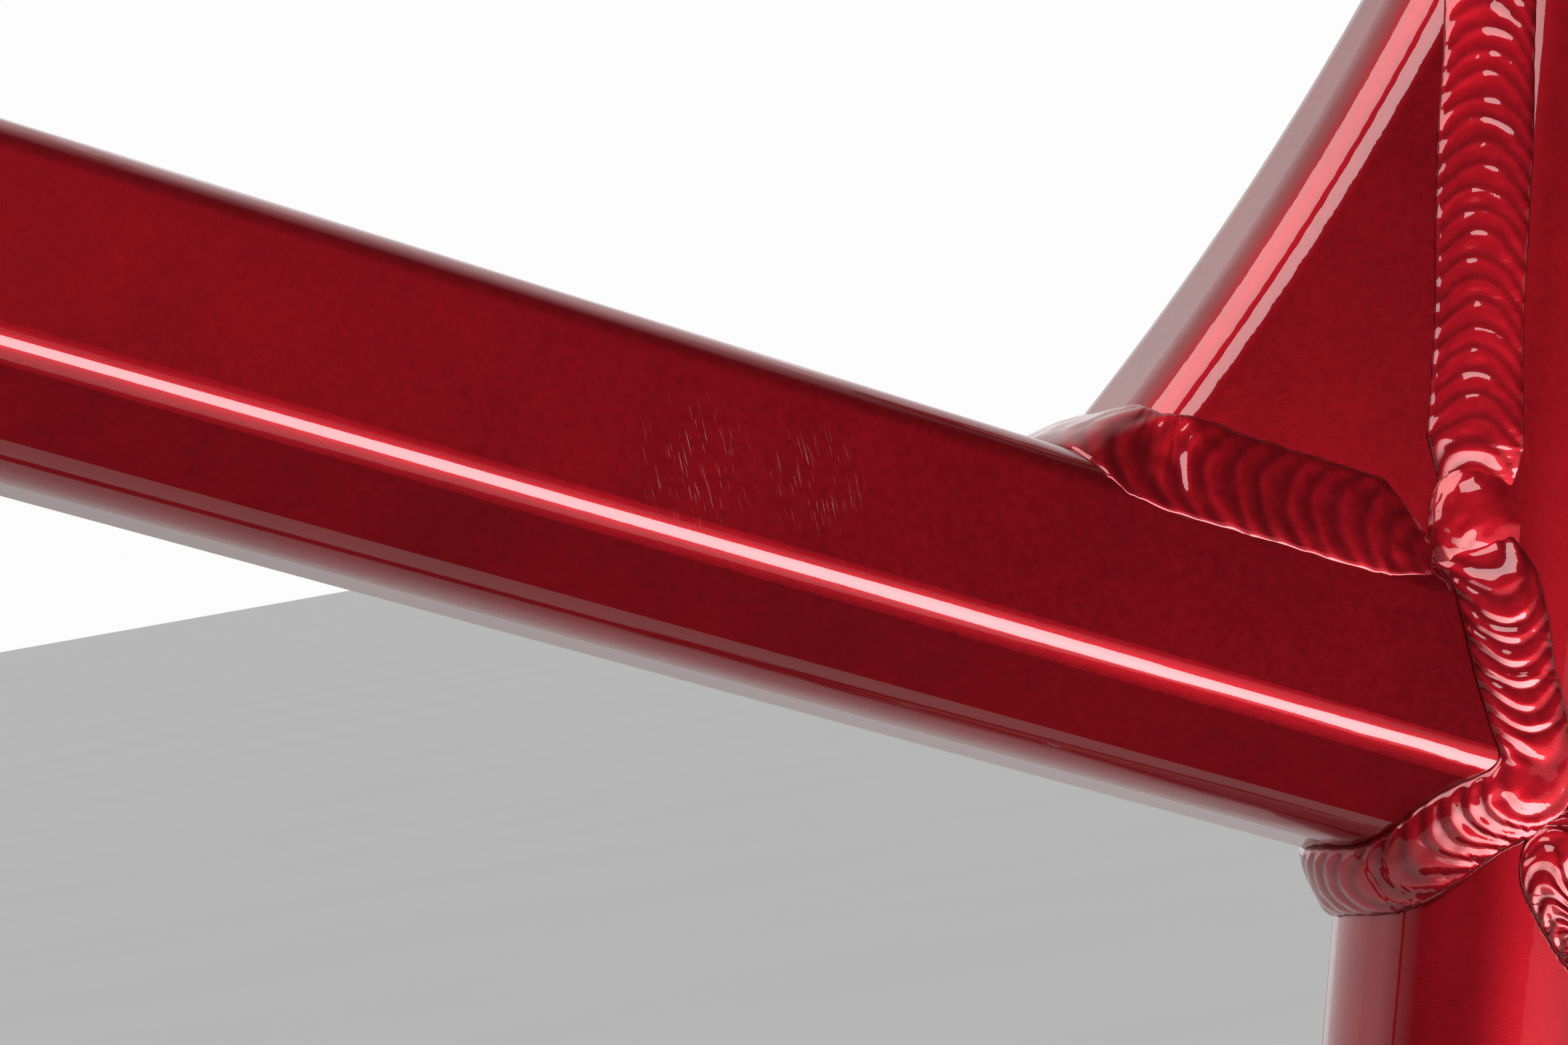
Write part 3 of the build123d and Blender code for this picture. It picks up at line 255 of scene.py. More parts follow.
# ---------------------------------------------------------------- finishes
@dataclass(frozen=True)
class CandyPaint:
    """Metallic candy red under a clear coat, with fine flake, dust and rubbed patches.

    Attributes:
        name: The material's name.
        deep: Colour where the candy is thick; on beads also the painted shade in ripple troughs and at
            the toes.
        bright: Colour where the candy is thin; on beads also the painted highlight on ripple crests.
        on_weld: True for beads, whose colour follows their ripples: partly real candy thickness, partly
            painted highlight on crests and painted shade in troughs.
        rubs: Centre and radius of each lightly scratched patch.
    """

    name: str
    deep: tuple = (0.200, 0.0010, 0.0050, 1.0)
    bright: tuple = (0.330, 0.0020, 0.0080, 1.0)
    on_weld: bool = False
    rubs: tuple = ()

    def build(self) -> bpy.types.Material:
        """Returns the material."""
        g = Graph(self.name)
        cloud = g.ramp(g.noise(55.0, 3.0), 0.35, 0.70)
        flake = g.node("ShaderNodeTexVoronoi", Vector=g.place, Scale=5200.0)
        glint = g.ramp(flake.outputs["Distance"], 0.65, 0.15)
        share = g.math("MULTIPLY", cloud, 0.35)
        if self.on_weld:
            # Beads: lighter on ripple crests, darker in troughs and at the toes; partly the candy's
            # real thickness, partly painted highlight and painted shade.
            crest = g.node("ShaderNodeAttribute")
            crest.attribute_name = "crest"
            height = crest.outputs["Fac"]
            share = g.math("ADD", share, g.math("MULTIPLY", height, 0.38))
        share = g.math("ADD", share, g.math("MULTIPLY", glint, 0.10))
        colour = g.blend(share, self.deep, self.bright)
        speck = g.node("ShaderNodeTexVoronoi", Vector=g.place, Scale=120.0)
        dust = g.ramp(speck.outputs["Distance"], 0.030, 0.018)
        dust = g.math("MULTIPLY", dust, g.ramp(g.noise(37.0), 0.55, 0.66))
        rub = self._rubs(g)
        worn = g.math("MAXIMUM", g.math("MULTIPLY", dust, 0.55), rub)
        colour = g.blend(worn, colour, (0.58, 0.30, 0.30, 1.0))
        peel = g.bump(g.noise(420.0, 1.0), 0.018, 0.0004)
        base = g.bump(flake.outputs["Distance"], 0.16, 0.00005, peel)
        rough = g.math("ADD", 0.34, g.math("MULTIPLY", g.noise(900.0, 2.0), 0.14))
        return g.finish(
            Base_Color=colour,
            Metallic=0.92,
            Roughness=rough,
            Normal=base,
            Coat_Weight=1.0,
            Coat_Roughness=0.035,
            Coat_IOR=1.55,
            Coat_Normal=peel,
        )

    def _rubs(self, g: Graph) -> bpy.types.NodeSocket:
        """Fine scratches inside small round patches; returns their strength."""
        hair = 0.0
        for turn in (0.25, 0.62):
            stretched = g.node(
                "ShaderNodeMapping", Vector=g.place, Scale=(4200.0, 60.0, 260.0), Rotation=(0, turn, 0)
            )
            lines = g.node("ShaderNodeTexNoise", Vector=stretched.outputs[0], Scale=1.0, Detail=1.0)
            hair = g.math("MAXIMUM", hair, g.ramp(lines.outputs["Fac"], 0.66, 0.72))
        total = g.math("MULTIPLY", 0.0, hair)
        for place, radius in self.rubs:
            gap = g.node("ShaderNodeVectorMath")
            gap.operation = "DISTANCE"
            g.plug(gap, 0, g.place)
            g.plug(gap, 1, place)
            near = g.ramp(gap.outputs["Value"], radius, radius * 0.3)
            total = g.math("ADD", total, g.math("MULTIPLY", g.math("MULTIPLY", near, hair), 0.42))
        return total


@dataclass(frozen=True)
class Metal:
    """Bare, plated or anodised metal with turned or brushed marks.

    Attributes:
        name: The material's name.
        colour: Its main colour.
        tint: The colour it varies towards.
        rough: Mean roughness.
        grain: How strong the fine marks are.
    """

    name: str
    colour: tuple
    tint: tuple
    rough: float = 0.3
    grain: float = 0.1

    def build(self) -> bpy.types.Material:
        """Returns the material."""
        g = Graph(self.name)
        marks = g.node("ShaderNodeMapping", Vector=g.place, Scale=(260.0, 2600.0, 260.0))
        lines = g.node("ShaderNodeTexNoise", Vector=marks.outputs[0], Scale=1.0, Detail=3.0)
        stain = g.ramp(g.noise(90.0, 4.0), 0.4, 0.7)
        colour = g.blend(stain, self.colour, self.tint)
        rough = g.math("ADD", self.rough, g.math("MULTIPLY", lines.outputs["Fac"], 0.18))
        normal = g.bump(lines.outputs["Fac"], self.grain, 0.0001)
        return g.finish(Base_Color=colour, Metallic=1.0, Roughness=rough, Normal=normal)


@dataclass(frozen=True)
class Plastic:
    """Moulded matte plastic with a fine spark-eroded grain."""

    name: str
    colour: tuple = (0.018, 0.018, 0.019, 1.0)
    tint: tuple = (0.040, 0.040, 0.042, 1.0)

    def build(self) -> bpy.types.Material:
        """Returns the material."""
        g = Graph(self.name)
        colour = g.blend(g.ramp(g.noise(140.0, 4.0), 0.35, 0.7), self.colour, self.tint)
        normal = g.bump(g.noise(2400.0, 2.0), 0.25, 0.0001)
        rough = g.math("ADD", 0.42, g.math("MULTIPLY", g.noise(300.0), 0.2))
        return g.finish(Base_Color=colour, Roughness=rough, Normal=normal)


# ---------------------------------------------------------------- seams
@dataclass
class Station:
    """One place on a seam.

    Attributes:
        root: Where the two surfaces meet.
        out_a: First surface's outward normal.
        out_b: Second surface's outward normal.
        away_a: Along the first surface, away from the second.
        away_b: Along the second surface, away from the first.
    """

    root: Vector
    out_a: Vector
    out_b: Vector
    away_a: Vector
    away_b: Vector

    @classmethod
    def between(cls, root: Vector, out_a: Vector, out_b: Vector, slide: Vector) -> "Station":
        """Makes a station from both normals and the direction of the first part's end.

        Args:
            root: Where the surfaces meet.
            out_a: First surface's outward normal.
            out_b: Second surface's outward normal.
            slide: Direction from the first part towards the second.

        Returns:
            The station.
        """
        away_a = (-slide + out_a * slide.dot(out_a)).normalized()
        away_b = (out_a - out_b * out_a.dot(out_b)).normalized()
        return cls(root, out_a, out_b, away_a, away_b)

    def mixed(self, other: "Station", share: float) -> "Station":
        """A station between this one and another."""
        return Station(
            self.root.lerp(other.root, share),
            self.out_a.lerp(other.out_a, share).normalized(),
            self.out_b.lerp(other.out_b, share).normalized(),
            self.away_a.lerp(other.away_a, share).normalized(),
            self.away_b.lerp(other.away_b, share).normalized(),
        )


def shape_of(*nodes: str) -> BVHTree:
    """Search tree over the triangles of CAD nodes.

    Args:
        *nodes: The nodes' names.

    Returns:
        The tree, in the row's frame.
    """
    points: list[Vector] = []
    faces: list[list[int]] = []
    for name in nodes:
        mesh = FRAME["nodes"][name].data
        start = len(points)
        points.extend(vertex.co.copy() for vertex in mesh.vertices)
        faces.extend([start + i for i in polygon.vertices] for polygon in mesh.polygons)
    return BVHTree.FromPolygons(points, faces)


def tube_seam(tube: BVHTree, onto: BVHTree, centre: Vector, slide: Vector, count: int = 240) -> list:
    """Seam of a tube's end, found by sliding its outline along itself onto another part.

    Args:
        tube: The tube's shape.
        onto: The other part's shape.
        centre: A point on the tube's axis, clear of its shaped end.
        slide: Direction from there towards the other part.
        count: Number of stations.

    Returns:
        The closed seam's stations.
    """
    slide = slide.normalized()
    side = slide.orthogonal().normalized()
    up = slide.cross(side)
    seam = []
    for number in range(count):
        turn = 2 * math.pi * number / count
        ray = side * math.cos(turn) + up * math.sin(turn)
        place, normal, _, _ = tube.ray_cast(centre + ray * 0.06, -ray, 0.06)
        if place is None:
            continue
        normal = (normal - slide * normal.dot(slide)).normalized()
        if normal.dot(ray) < 0:
            normal = -normal
        root, other, _, _ = onto.ray_cast(place + normal * 2e-5, slide, 0.12)
        if root is not None:
            seam.append(Station.between(root, normal, other, slide))
    return seam


def evenly(seam: list, step: float, closed: bool) -> list:
    """The same seam smoothed and with stations an even step apart."""
    for _ in range(3):
        smooth = []
        for i, station in enumerate(seam):
            before = seam[i - 1] if closed or i else station
            after = seam[(i + 1) % len(seam)] if closed or i + 1 < len(seam) else station
            smooth.append(before.mixed(after, 0.5).mixed(station, 0.5))
        seam = smooth
    loop = seam + [seam[0]] if closed else seam
    lengths = [0.0]
    for first, second in zip(loop, loop[1:]):
        lengths.append(lengths[-1] + (second.root - first.root).length)
    count = max(8, round(lengths[-1] / step))
    result = []
    index = 0
    for number in range(count if closed else count + 1):
        target = lengths[-1] * number / count
        while index < len(loop) - 2 and lengths[index + 1] < target:
            index += 1
        span = max(lengths[index + 1] - lengths[index], 1e-9)
        result.append(loop[index].mixed(loop[index + 1], (target - lengths[index]) / span))
    return result


@dataclass
class Bead:
    """A hand-laid weld bead.

    Attributes:
        name: The visual piece's name.
        seams: One list of stations for each run of the bead.
        closed: Whether each run joins its own start.
        leg_a: Width on the first part, in mm.
        leg_b: Width on the second part, in mm.
        bulge: Height of the bead above the straight line between its toes, in mm.
        pitch: Distance between ripples, in mm.
        ripple: Height of a ripple, in mm.
        bow: How far a ripple's ends trail behind its middle, in ripples.
        shapes: The parts that the toes are seated on.
        seed: Start of this bead's random wander.
    """

    name: str
    seams: list
    closed: bool
    leg_a: float
    leg_b: float
    bulge: float
    shapes: tuple
    pitch: float = 2.8
    ripple: float = 0.20
    bow: float = 1.5
    seed: int = 1
    across: int = 26

    def build(self, material: bpy.types.Material) -> bpy.types.Object:
        """Builds the bead as one closed solid for each run.

        Args:
            material: Its finish.

        Returns:
            The new object.
        """
        form = bmesh.new()
        crest = form.verts.layers.float.new("crest")
        for run, seam in enumerate(self.seams):
            self._run(form, crest, evenly(seam, self.pitch * MM / 12, self.closed), run)
        bmesh.ops.recalc_face_normals(form, faces=form.faces)
        mesh = bpy.data.meshes.new(self.name)
        form.to_mesh(mesh)
        form.free()
        for polygon in mesh.polygons:
            polygon.use_smooth = True
        mesh.materials.append(material)
        made = bpy.data.objects.new(self.name, mesh)
        bpy.context.scene.collection.objects.link(made)
        return made

    def _run(self, form: bmesh.types.BMesh, crest: object, seam: list, run: int) -> None:
        """Adds one run of the bead."""
        random.seed(self.seed * 97 + run)
        offset = random.random() * 50
        travelled = 0.0
        rings = []
        for i, station in enumerate(seam):
            if i:
                travelled += (station.root - seam[i - 1].root).length / MM
            share = i / (len(seam) - 1)
            rings.append(self._ring(form, crest, station, travelled, share, offset))
        pairs = list(zip(rings, rings[1:]))
        if self.closed:
            pairs.append((rings[-1], rings[0]))
        for first, second in pairs:
            for k in range(len(first)):
                after = (k + 1) % len(first)
                form.faces.new((first[k], first[after], second[after], second[k]))
        if not self.closed:
            form.faces.new(rings[0])
            form.faces.new(rings[-1])

    def _ring(
        self,
        form: bmesh.types.BMesh,
        crest: object,
        at: Station,
        travelled: float,
        share: float,
        offset: float,
    ) -> list:
        """Adds the bead's outline at one station, from the first toe over to the second.

        Args:
            form: The mesh being built.
            crest: Its layer for how near a ripple's crest each point is.
            at: The station.
            travelled: Distance along the run, in mm.
            share: The same distance as a share of the run.
            offset: Where this run starts in the random wander.

        Returns:
            The outline's points.
        """
        wander = noise.noise(Vector((travelled * 0.05, offset, 0)))
        size = 1 + 0.09 * wander
        taper = 1.0
        if not self.closed:
            taper = min(1.0, 0.35 + 9 * min(share, 1 - share))
        leg_a, leg_b = self.leg_a * size * taper, self.leg_b * size * taper
        toe_a = self._seated(at.root + at.away_a * leg_a * MM, at.out_a)
        toe_b = self._seated(at.root + at.away_b * leg_b * MM, at.out_b)
        out = (at.out_a + at.out_b).normalized()
        ring = []
        for k in range(self.across + 1):
            v = k / self.across
            centred = 2 * v - 1
            dome = math.sqrt(max(0.0, 1 - centred * centred))
            phase = travelled / self.pitch + self.bow * centred * centred
            phase += 0.16 * noise.noise(Vector((travelled * 0.3, offset + 9, v * 2)))
            part = phase - math.floor(phase)
            wave = part / 0.62 if part < 0.62 else 1 - (part - 0.62) / 0.38
            wave = wave * wave * (3 - 2 * wave)
            rise = self.bulge * size * taper * dome ** 0.85
            rise += self.ripple * wave * min(1.0, 2.2 * dome) * taper
            rise += 0.10 * noise.noise(Vector((travelled * 0.4, v * 5, offset)))
            point = toe_a.lerp(toe_b, v) + out * rise * MM
            vertex = form.verts.new(point)
            # Crest value: 1 on ripple crests in the bead's middle, 0 in troughs and at the toes; the
            # bead paint turns it into painted highlight and painted shade as well as candy thickness.
            vertex[crest] = wave * min(1.0, 1.6 * dome)
            ring.append(vertex)
        ring.append(form.verts.new(at.root - out * ROOT_DEPTH))
        return ring

    def _seated(self, toe: Vector, normal: Vector) -> Vector:
        """Puts a toe on the nearest part's surface, slightly sunk into it."""
        best = None
        for shape in self.shapes:
            place, _, _, gap = shape.find_nearest(toe, 0.008)
            if place is not None and (best is None or gap < best[1]):
                best = (place, gap)
        base = best[0] if best else toe
        return base - normal * TOE_DEPTH


class Welds:
    """All the rebuilt weld beads, seam by seam."""

    def __init__(self) -> None:
        """Gets the shapes that the seams lie on."""
        self.seat = shape_of("seat_tube")
        self.head = shape_of("head_tube")
        self.top = shape_of("top_tube")
        self.down = shape_of("down_tube")
        self.shell = shape_of("bottom_bracket_shell")
        self.gusset = shape_of("seat_gusset")

    def tube_beads(self) -> list:
        """Beads round the ends of the main tubes, with the nodes they stand for."""
        at = LAYOUT
        top_mid = at.cluster - at.top_back * 0.055
        head_joint = at.head_top - at.head_up * 0.038
        down_way = (-at.down_front).normalized()
        top_end = tube_seam(self.top, self.seat, top_mid, at.top_back)
        top_start = tube_seam(self.top, self.head, head_joint + at.top_back * 0.045, -at.top_back)
        down_start = tube_seam(self.down, self.head, at.down_front + down_way * 0.07, -down_way)
        down_end = tube_seam(self.down, self.shell, down_way * -0.055, down_way)
        seat_end = tube_seam(self.seat, self.shell, at.seat_up * 0.045, -at.seat_up)
        return [
            (
                Bead("bead_top_tube_seat_tube", [top_end], True, 5.2, 6.6, 1.3,
                     (self.top, self.seat), seed=3, ripple=0.16),
                "weld_top_tube_seat_tube",
            ),
            (
                Bead("bead_head_top_tube", [top_start], True, 5.5, 5.5, 1.2,
                     (self.top, self.head), seed=4),
                "weld_head_top_tube",
            ),
            (
                Bead("bead_head_down_tube", [down_start], True, 5.5, 5.0, 1.2,
                     (self.down, self.head), seed=5),
                "weld_head_down_tube",
            ),
            (
                Bead("bead_down_tube_shell", [down_end], True, 5.0, 4.6, 1.1,
                     (self.down, self.shell), seed=6),
                "weld_down_tube_shell",
            ),
            (
                Bead("bead_seat_tube_shell", [seat_end], True, 4.6, 4.6, 1.1,
                     (self.seat, self.shell), seed=7),
                "weld_seat_tube_shell",
            ),
        ]

    def gusset_beads(self) -> list:
        """Beads up the gusset's sides and round its foot, with the nodes they stand for."""
        return [
            (
                Bead("bead_gusset_seat_tube", [self._gusset_up()], False, 6.8, 6.0, 0.8,
                     (self.gusset, self.seat), seed=11, ripple=0.085, bow=1.7),
                "weld_gusset_seat_tube",
            ),
            (
                Bead("bead_gusset_top_tube", [self._gusset_foot()], False, 9.2, 5.0, 0.6,
                     (self.gusset, self.top), seed=12, pitch=3.6, ripple=0.10, bow=1.2),
                "weld_gusset_top_tube",
            ),
        ]

    def _gusset_up(self) -> list:
        """Seam from the foot of the gusset's left side, over its tip and down the right."""
        at = LAYOUT
        front, up = at.seat_front, at.seat_up
        axis_foot = at.corner - front * at.seat_radius
        turn_at = at.gusset_height - 0.010
        seam = []
        places = [(k / 60 * turn_at, -1.0, 0.0) for k in range(61)]
        places += [
            (turn_at + 0.009 * math.sin(a), -math.cos(a), math.sin(a))
            for a in (math.pi * k / 40 for k in range(1, 40))
        ]
        places += [(turn_at * (1 - k / 60), 1.0, 0.0) for k in range(61)]
        for height, side, nose in places:
            share = min(height / at.gusset_height, 1.0)
            half = at.gusset_base + (at.gusset_top - at.gusset_base) * share
            y = half * side
            ahead = math.sqrt(at.seat_radius**2 - y**2)
            root = axis_foot + up * height + front * ahead + Vector((0, y, 0))
            out_b = (front * ahead + Vector((0, y, 0))).normalized()
            tip_normal = (front * 0.80 + up * 0.60).normalized()
            out_a = (Vector((0, side, 0)) * (1 - nose * 0.9) + tip_normal * nose).normalized()
            seam.append(Station.between(root, out_a, out_b, -front))
        return seam

    def _gusset_foot(self) -> list:
        """Seam round the gusset's foot on the top tube, from left to right."""
        at = LAYOUT
        straight = at.gusset_length - 0.009
        places = [(straight * k / 50, -1.0, 0.0) for k in range(51)]
        places += [
            (straight + 0.009 * math.sin(a), -math.cos(a), math.sin(a))
            for a in (math.pi * k / 36 for k in range(1, 36))
        ]
        places += [(straight * (1 - k / 50), 1.0, 0.0) for k in range(51)]
        seam = []
        for ahead, side, nose in places:
            y = at.gusset_base * side
            above = at.corner - at.top_back * ahead + Vector((0, y, 0)) + at.top_up * 0.02
            root, normal, _, _ = self.top.ray_cast(above, -at.top_up, 0.05)
            if root is None:
                continue
            flank = Vector((0, side, 0)) * max(0.0, 1 - nose)
            out_a = (flank + (-at.top_back * 0.8 + at.top_up * 0.4) * nose).normalized()
            seam.append(Station.between(root, out_a, normal, -at.top_up))
        return seam

    def stay_beads(self) -> list:
        """Beads at the stays' front ends and at both bridges."""
        at = LAYOUT
        chain_way = at.rear_axle.normalized()
        seat_top = at.seat_up * at.seatstay_joint
        seat_way = (at.rear_axle - seat_top).normalized()
        chain, seat, bridges = [], [], []
        for side, suffix in ((1, "right"), (-1, "left")):
            chainstay = shape_of(f"chainstay_{suffix}")
            seatstay = shape_of(f"seatstay_{suffix}")
            way = (chain_way * 62 + Vector((0, 5.5 * side, 0))).normalized()
            start = Vector((0, 25.5 * MM * side, 0)) + way * 0.040
            chain.append(tube_seam(chainstay, self.shell, start, -way))
            way = (seat_way * 60 + Vector((0, 28.8 * side, 0))).normalized()
            start = seat_top + Vector((0, 9.2 * MM * side, 0)) + way * 0.046
            seat.append(tube_seam(seatstay, self.seat, start, -way))
            for node, stay in (("chainstay_bridge", chainstay), ("seatstay_bridge", seatstay)):
                low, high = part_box(node)
                middle = (low + high) / 2
                across = Vector((0, side, 0))
                bridges.append(tube_seam(shape_of(node), stay, middle, across, 120))
        stays = tuple(shape_of(f"{k}stay_{s}") for k in ("chain", "seat") for s in ("left", "right"))
        rods = (shape_of("chainstay_bridge"), shape_of("seatstay_bridge"))
        return [
            (Bead("bead_chainstays", chain, True, 3.6, 3.6, 0.9, (*stays, self.shell),
                  pitch=2.3, ripple=0.18, seed=21), "weld_chainstays"),
            (Bead("bead_seatstays", seat, True, 3.4, 3.4, 0.9, (*stays, self.seat),
                  pitch=2.3, ripple=0.18, seed=22), "weld_seatstays"),
            (Bead("bead_bridges", bridges, True, 2.6, 2.6, 0.7, (*stays, *rods),
                  pitch=1.9, ripple=0.14, seed=23, across=18), "weld_bridges"),
        ]

    def puddles(self, material: bpy.types.Material) -> list:
        """Smooth rounded puddles where the gusset's beads meet the top tube's bead."""
        at = LAYOUT
        made = []
        for side, suffix in ((-1, "left"), (1, "right")):
            form = bmesh.new()
            crest = form.verts.layers.float.new("crest")
            bmesh.ops.create_icosphere(form, subdivisions=6, radius=1.0)
            y = side * 11.6 * MM
            ahead = math.sqrt(at.seat_radius**2 - y**2)
            middle = at.corner - at.seat_front * (at.seat_radius - ahead - 0.0012)
            middle = middle + at.seat_up * 0.0052 + at.top_back * 0.0055 + Vector((0, y, 0))
            for vertex in form.verts:
                p = vertex.co.copy()
                lump = 1 + 0.05 * noise.noise(p * 1.7) + 0.015 * noise.noise(p * 6)
                local = Vector((p.x * 10.0, p.y * 4.0, p.z * 10.4)) * MM * lump
                vertex[crest] = 0.55 + 0.25 * noise.noise(p * 2.5)
                vertex.co = middle + at.top_back * local.x + Vector((0, local.y, 0))
                vertex.co += at.top_up * local.z
            bmesh.ops.recalc_face_normals(form, faces=form.faces)
            mesh = bpy.data.meshes.new(f"weld_puddle_{suffix}")
            form.to_mesh(mesh)
            form.free()
            for polygon in mesh.polygons:
                polygon.use_smooth = True
            mesh.materials.append(material)
            puddle = bpy.data.objects.new(f"weld_puddle_{suffix}", mesh)
            bpy.context.scene.collection.objects.link(puddle)
            made.append(puddle)
        return made

    def build(self, material: bpy.types.Material) -> None:
        """Builds every bead, puts it on the frame and hides the node it stands for.

        Args:
            material: The beads' finish.
        """
        for bead, node in self.tube_beads() + self.gusset_beads() + self.stay_beads():
            LOG.info("bead %s: %s stations", bead.name, [len(seam) for seam in bead.seams])
            made = bead.build(material)
            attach(made, "frame")
            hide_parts(node)
        for puddle in self.puddles(material):
            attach(puddle, "frame")


# ---------------------------------------------------------------- studio
@dataclass(frozen=True)
class Panel:
    """A soft light panel aimed at a point."""

    name: str
    place: Vector
    aim: Vector
    width: float
    height: float
    watts: float
    along: Vector = field(default_factory=lambda: Vector((1, 0, 0)))
    spread: float = 180.0

    def build(self) -> None:
        """Adds the light."""
        data = bpy.data.lights.new(self.name, "AREA")
        data.shape = "RECTANGLE"
        data.size = self.width
        data.size_y = self.height
        data.energy = self.watts
        data.spread = math.radians(self.spread)
        lamp = bpy.data.objects.new(self.name, data)
        back = (self.place - self.aim).normalized()
        side = (self.along - back * self.along.dot(back)).normalized()
        up = back.cross(side)
        lamp.matrix_world = Matrix.Translation(self.place) @ Matrix(
            (side, up, back)
        ).transposed().to_4x4()
        bpy.context.scene.collection.objects.link(lamp)
        lamp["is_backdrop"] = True


class Studio:
    """Pale floor, bright surroundings, soft panels and the camera."""

    def __init__(self) -> None:
        """Finds the point that the lights and camera are placed from."""
        self.target = LAYOUT.cluster

    def floor(self) -> None:
        """Adds the pale floor just under the frame."""
        low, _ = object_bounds()
        form = bmesh.new()
        bmesh.ops.create_grid(form, x_segments=8, y_segments=8, size=40.0)
        for vertex in form.verts:
            vertex.co.z = low[2] - 0.002
        mesh = bpy.data.meshes.new("floor")
        form.to_mesh(mesh)
        form.free()
        g = Graph("floor")
        colour = g.blend(g.noise(2.0), (0.80, 0.80, 0.80, 1.0), (0.86, 0.86, 0.86, 1.0))
        mesh.materials.append(g.finish(Base_Color=colour, Roughness=0.7))
        made = bpy.data.objects.new("floor", mesh)
        bpy.context.scene.collection.objects.link(made)
        made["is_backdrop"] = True

    def flag(self) -> None:
        """Adds a dark board low in front, which keeps the tube's underside dark near the seat tube."""
        form = bmesh.new()
        bmesh.ops.create_grid(form, x_segments=24, y_segments=8, size=1.0)
        for vertex in form.verts:
            ragged = 0.05 * noise.noise(Vector((vertex.co.x * 3, vertex.co.y * 2, 1.0)))
            slant = 0.09 * (vertex.co.x + 1) / 2
            vertex.co = self.target + Vector(
                (vertex.co.x * 0.30, -0.24 + vertex.co.y * 0.10 + slant + ragged * 0.4, -0.22)
            )
        mesh = bpy.data.meshes.new("flag")
        form.to_mesh(mesh)
        form.free()
        g = Graph("flag")
        colour = g.blend(g.noise(20.0), (0.006, 0.004, 0.004, 1.0), (0.012, 0.009, 0.009, 1.0))
        mesh.materials.append(g.finish(Base_Color=colour, Roughness=0.95))
        made = bpy.data.objects.new("flag", mesh)
        made.visible_camera = False
        made.visible_shadow = False
        bpy.context.scene.collection.objects.link(made)
        made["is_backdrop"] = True

    def world(self) -> None:
        """White background; darker on the near side, where only reflections see it."""
        world = bpy.data.worlds.new("studio")
        world.use_nodes = True
        tree = world.node_tree
        tree.nodes.clear()
        output = tree.nodes.new("ShaderNodeOutputWorld")
        background = tree.nodes.new("ShaderNodeBackground")
        path = tree.nodes.new("ShaderNodeLightPath")
        place = tree.nodes.new("ShaderNodeTexCoord")
        split = tree.nodes.new("ShaderNodeSeparateXYZ")
        tree.links.new(place.outputs["Generated"], split.inputs[0])
        far = tree.nodes.new("ShaderNodeMapRange")
        far.inputs["From Min"].default_value = -0.25
        far.inputs["From Max"].default_value = 0.30
        far.inputs["To Min"].default_value = 0.02
        far.inputs["To Max"].default_value = 1.0
        tree.links.new(split.outputs[1], far.inputs["Value"])
        seen = tree.nodes.new("ShaderNodeMix")
        tree.links.new(path.outputs["Is Camera Ray"], seen.inputs[0])
        tree.links.new(far.outputs[0], seen.inputs[2])
        seen.inputs[3].default_value = 0.975
        tree.links.new(seen.outputs[0], background.inputs["Strength"])
        background.inputs["Color"].default_value = (1.0, 1.0, 1.0, 1.0)
        tree.links.new(background.outputs[0], output.inputs[0])
        bpy.context.scene.world = world

    def lights(self) -> None:
        """Adds the panels: one low strip along the ridge, one high in front, one fill."""
        t = self.target
        along = LAYOUT.top_back
        strip = t + Vector((0.36, -0.85, -0.38)) * 0.55 - along * 0.10
        Panel("low_strip", strip, t - along * 0.08, 1.3, 0.20, 2.6, along, 100.0).build()
        front = t + Vector((-0.40, -0.40, 0.82)) * 0.9
        Panel("front_panel", front, t, 0.95, 0.60, 8.0, LAYOUT.seat_up).build()
        key = t + Vector((0.09, -0.82, 0.565)) * 1.3
        Panel("key", key, t, 0.5, 0.4, 3.4).build()

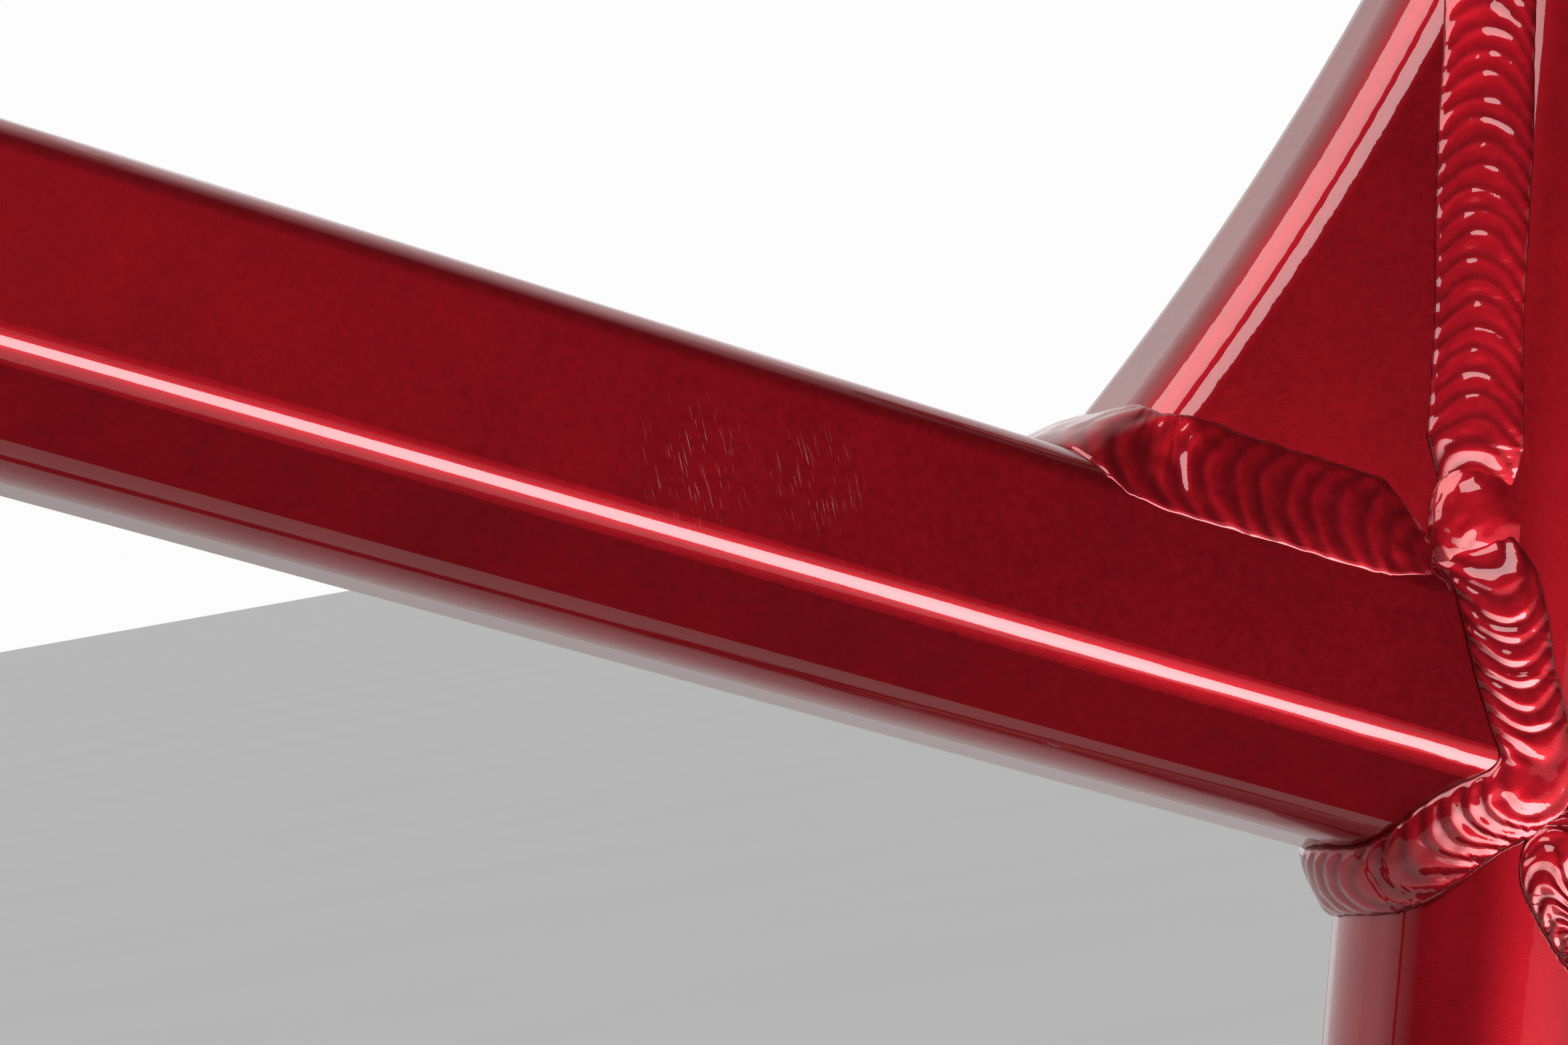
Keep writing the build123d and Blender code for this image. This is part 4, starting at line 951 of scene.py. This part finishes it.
    def camera(self) -> None:
        """Puts a long lens close to the seat cluster, at its left side and a little above it."""
        azimuth, elevation, roll = (math.radians(v) for v in (-30.4, 3.2, -9.7))
        distance, lens = 0.900, 169.43878
        aim_side, aim_down = 0.09611563, 0.03008130
        back = Vector(
            (
                math.sin(azimuth) * math.cos(elevation),
                -math.cos(azimuth) * math.cos(elevation),
                math.sin(elevation),
            )
        )
        right = (-back).cross(Vector((0, 0, 1))).normalized()
        up = right.cross(-back)
        level_right, level_up = right.copy(), up.copy()
        right = level_right * math.cos(roll) + level_up * math.sin(roll)
        up = level_up * math.cos(roll) - level_right * math.sin(roll)
        look = (-back - right * aim_side + up * aim_down).normalized()
        right = (right - look * right.dot(look)).normalized()
        up = right.cross(look)
        data = bpy.data.cameras.new("camera")
        data.sensor_width = 36.0
        data.lens = lens
        data.clip_start = 0.01
        made = bpy.data.objects.new("camera", data)
        place = self.target + back * distance
        made.matrix_world = Matrix.Translation(place) @ Matrix((right, up, -look)).transposed().to_4x4()
        bpy.context.scene.collection.objects.link(made)
        bpy.context.scene.camera = made

    def build(self) -> None:
        """Sets the whole studio up."""
        self.floor()
        self.flag()
        self.world()
        self.lights()
        self.camera()
        bpy.context.scene.view_settings.view_transform = "Standard"


# ---------------------------------------------------------------- finishes on the CAD pieces
def finishes() -> dict:
    """Builds one material for each of the record's slots."""
    side = LAYOUT.cluster - LAYOUT.top_back * 0.116 + Vector((0, -0.0155, 0.003))
    rubs = (
        (tuple(side), 0.0085),
        (tuple(side + LAYOUT.top_back * 0.015 + LAYOUT.top_up * 0.002), 0.007),
    )
    return {
        Slot.PAINT: CandyPaint("candy_red", rubs=rubs).build(),
        Slot.BARE: Metal("bare_aluminium", (0.62, 0.63, 0.65, 1), (0.50, 0.51, 0.53, 1)).build(),
        Slot.ANODISED: Metal(
            "black_anodised", (0.020, 0.020, 0.022, 1), (0.045, 0.045, 0.048, 1), 0.34, 0.12
        ).build(),
        Slot.STEEL: Metal("steel", (0.46, 0.46, 0.47, 1), (0.36, 0.36, 0.38, 1), 0.25).build(),
        Slot.PLASTIC: Plastic("black_plastic").build(),
    }


def paint_nodes(materials: dict) -> None:
    """Gives every CAD piece the finish of its slot.

    Args:
        materials: Materials by slot.
    """
    for part in FRAME["record"]["subparts"]:
        mesh = FRAME["nodes"][part["node"]].data
        mesh.materials.clear()
        mesh.materials.append(materials[Slot(part["material_slot"])])


def main() -> None:
    """Builds the whole visual model and its studio."""
    logging.basicConfig(level=logging.INFO)
    materials = finishes()
    paint_nodes(materials)
    # Bead paint: deep is darker and bright lighter than the tubes', partly for painted shade in troughs
    # and painted highlight on crests.
    bead_paint = CandyPaint(
        "candy_red_weld",
        deep=(0.11, 0.0008, 0.004, 1.0),
        bright=(0.50, 0.0040, 0.0130, 1.0),
        on_weld=True,
    ).build()
    Welds().build(bead_paint)
    Studio().build()


if __name__ == "__main__":
    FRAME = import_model()
    main()
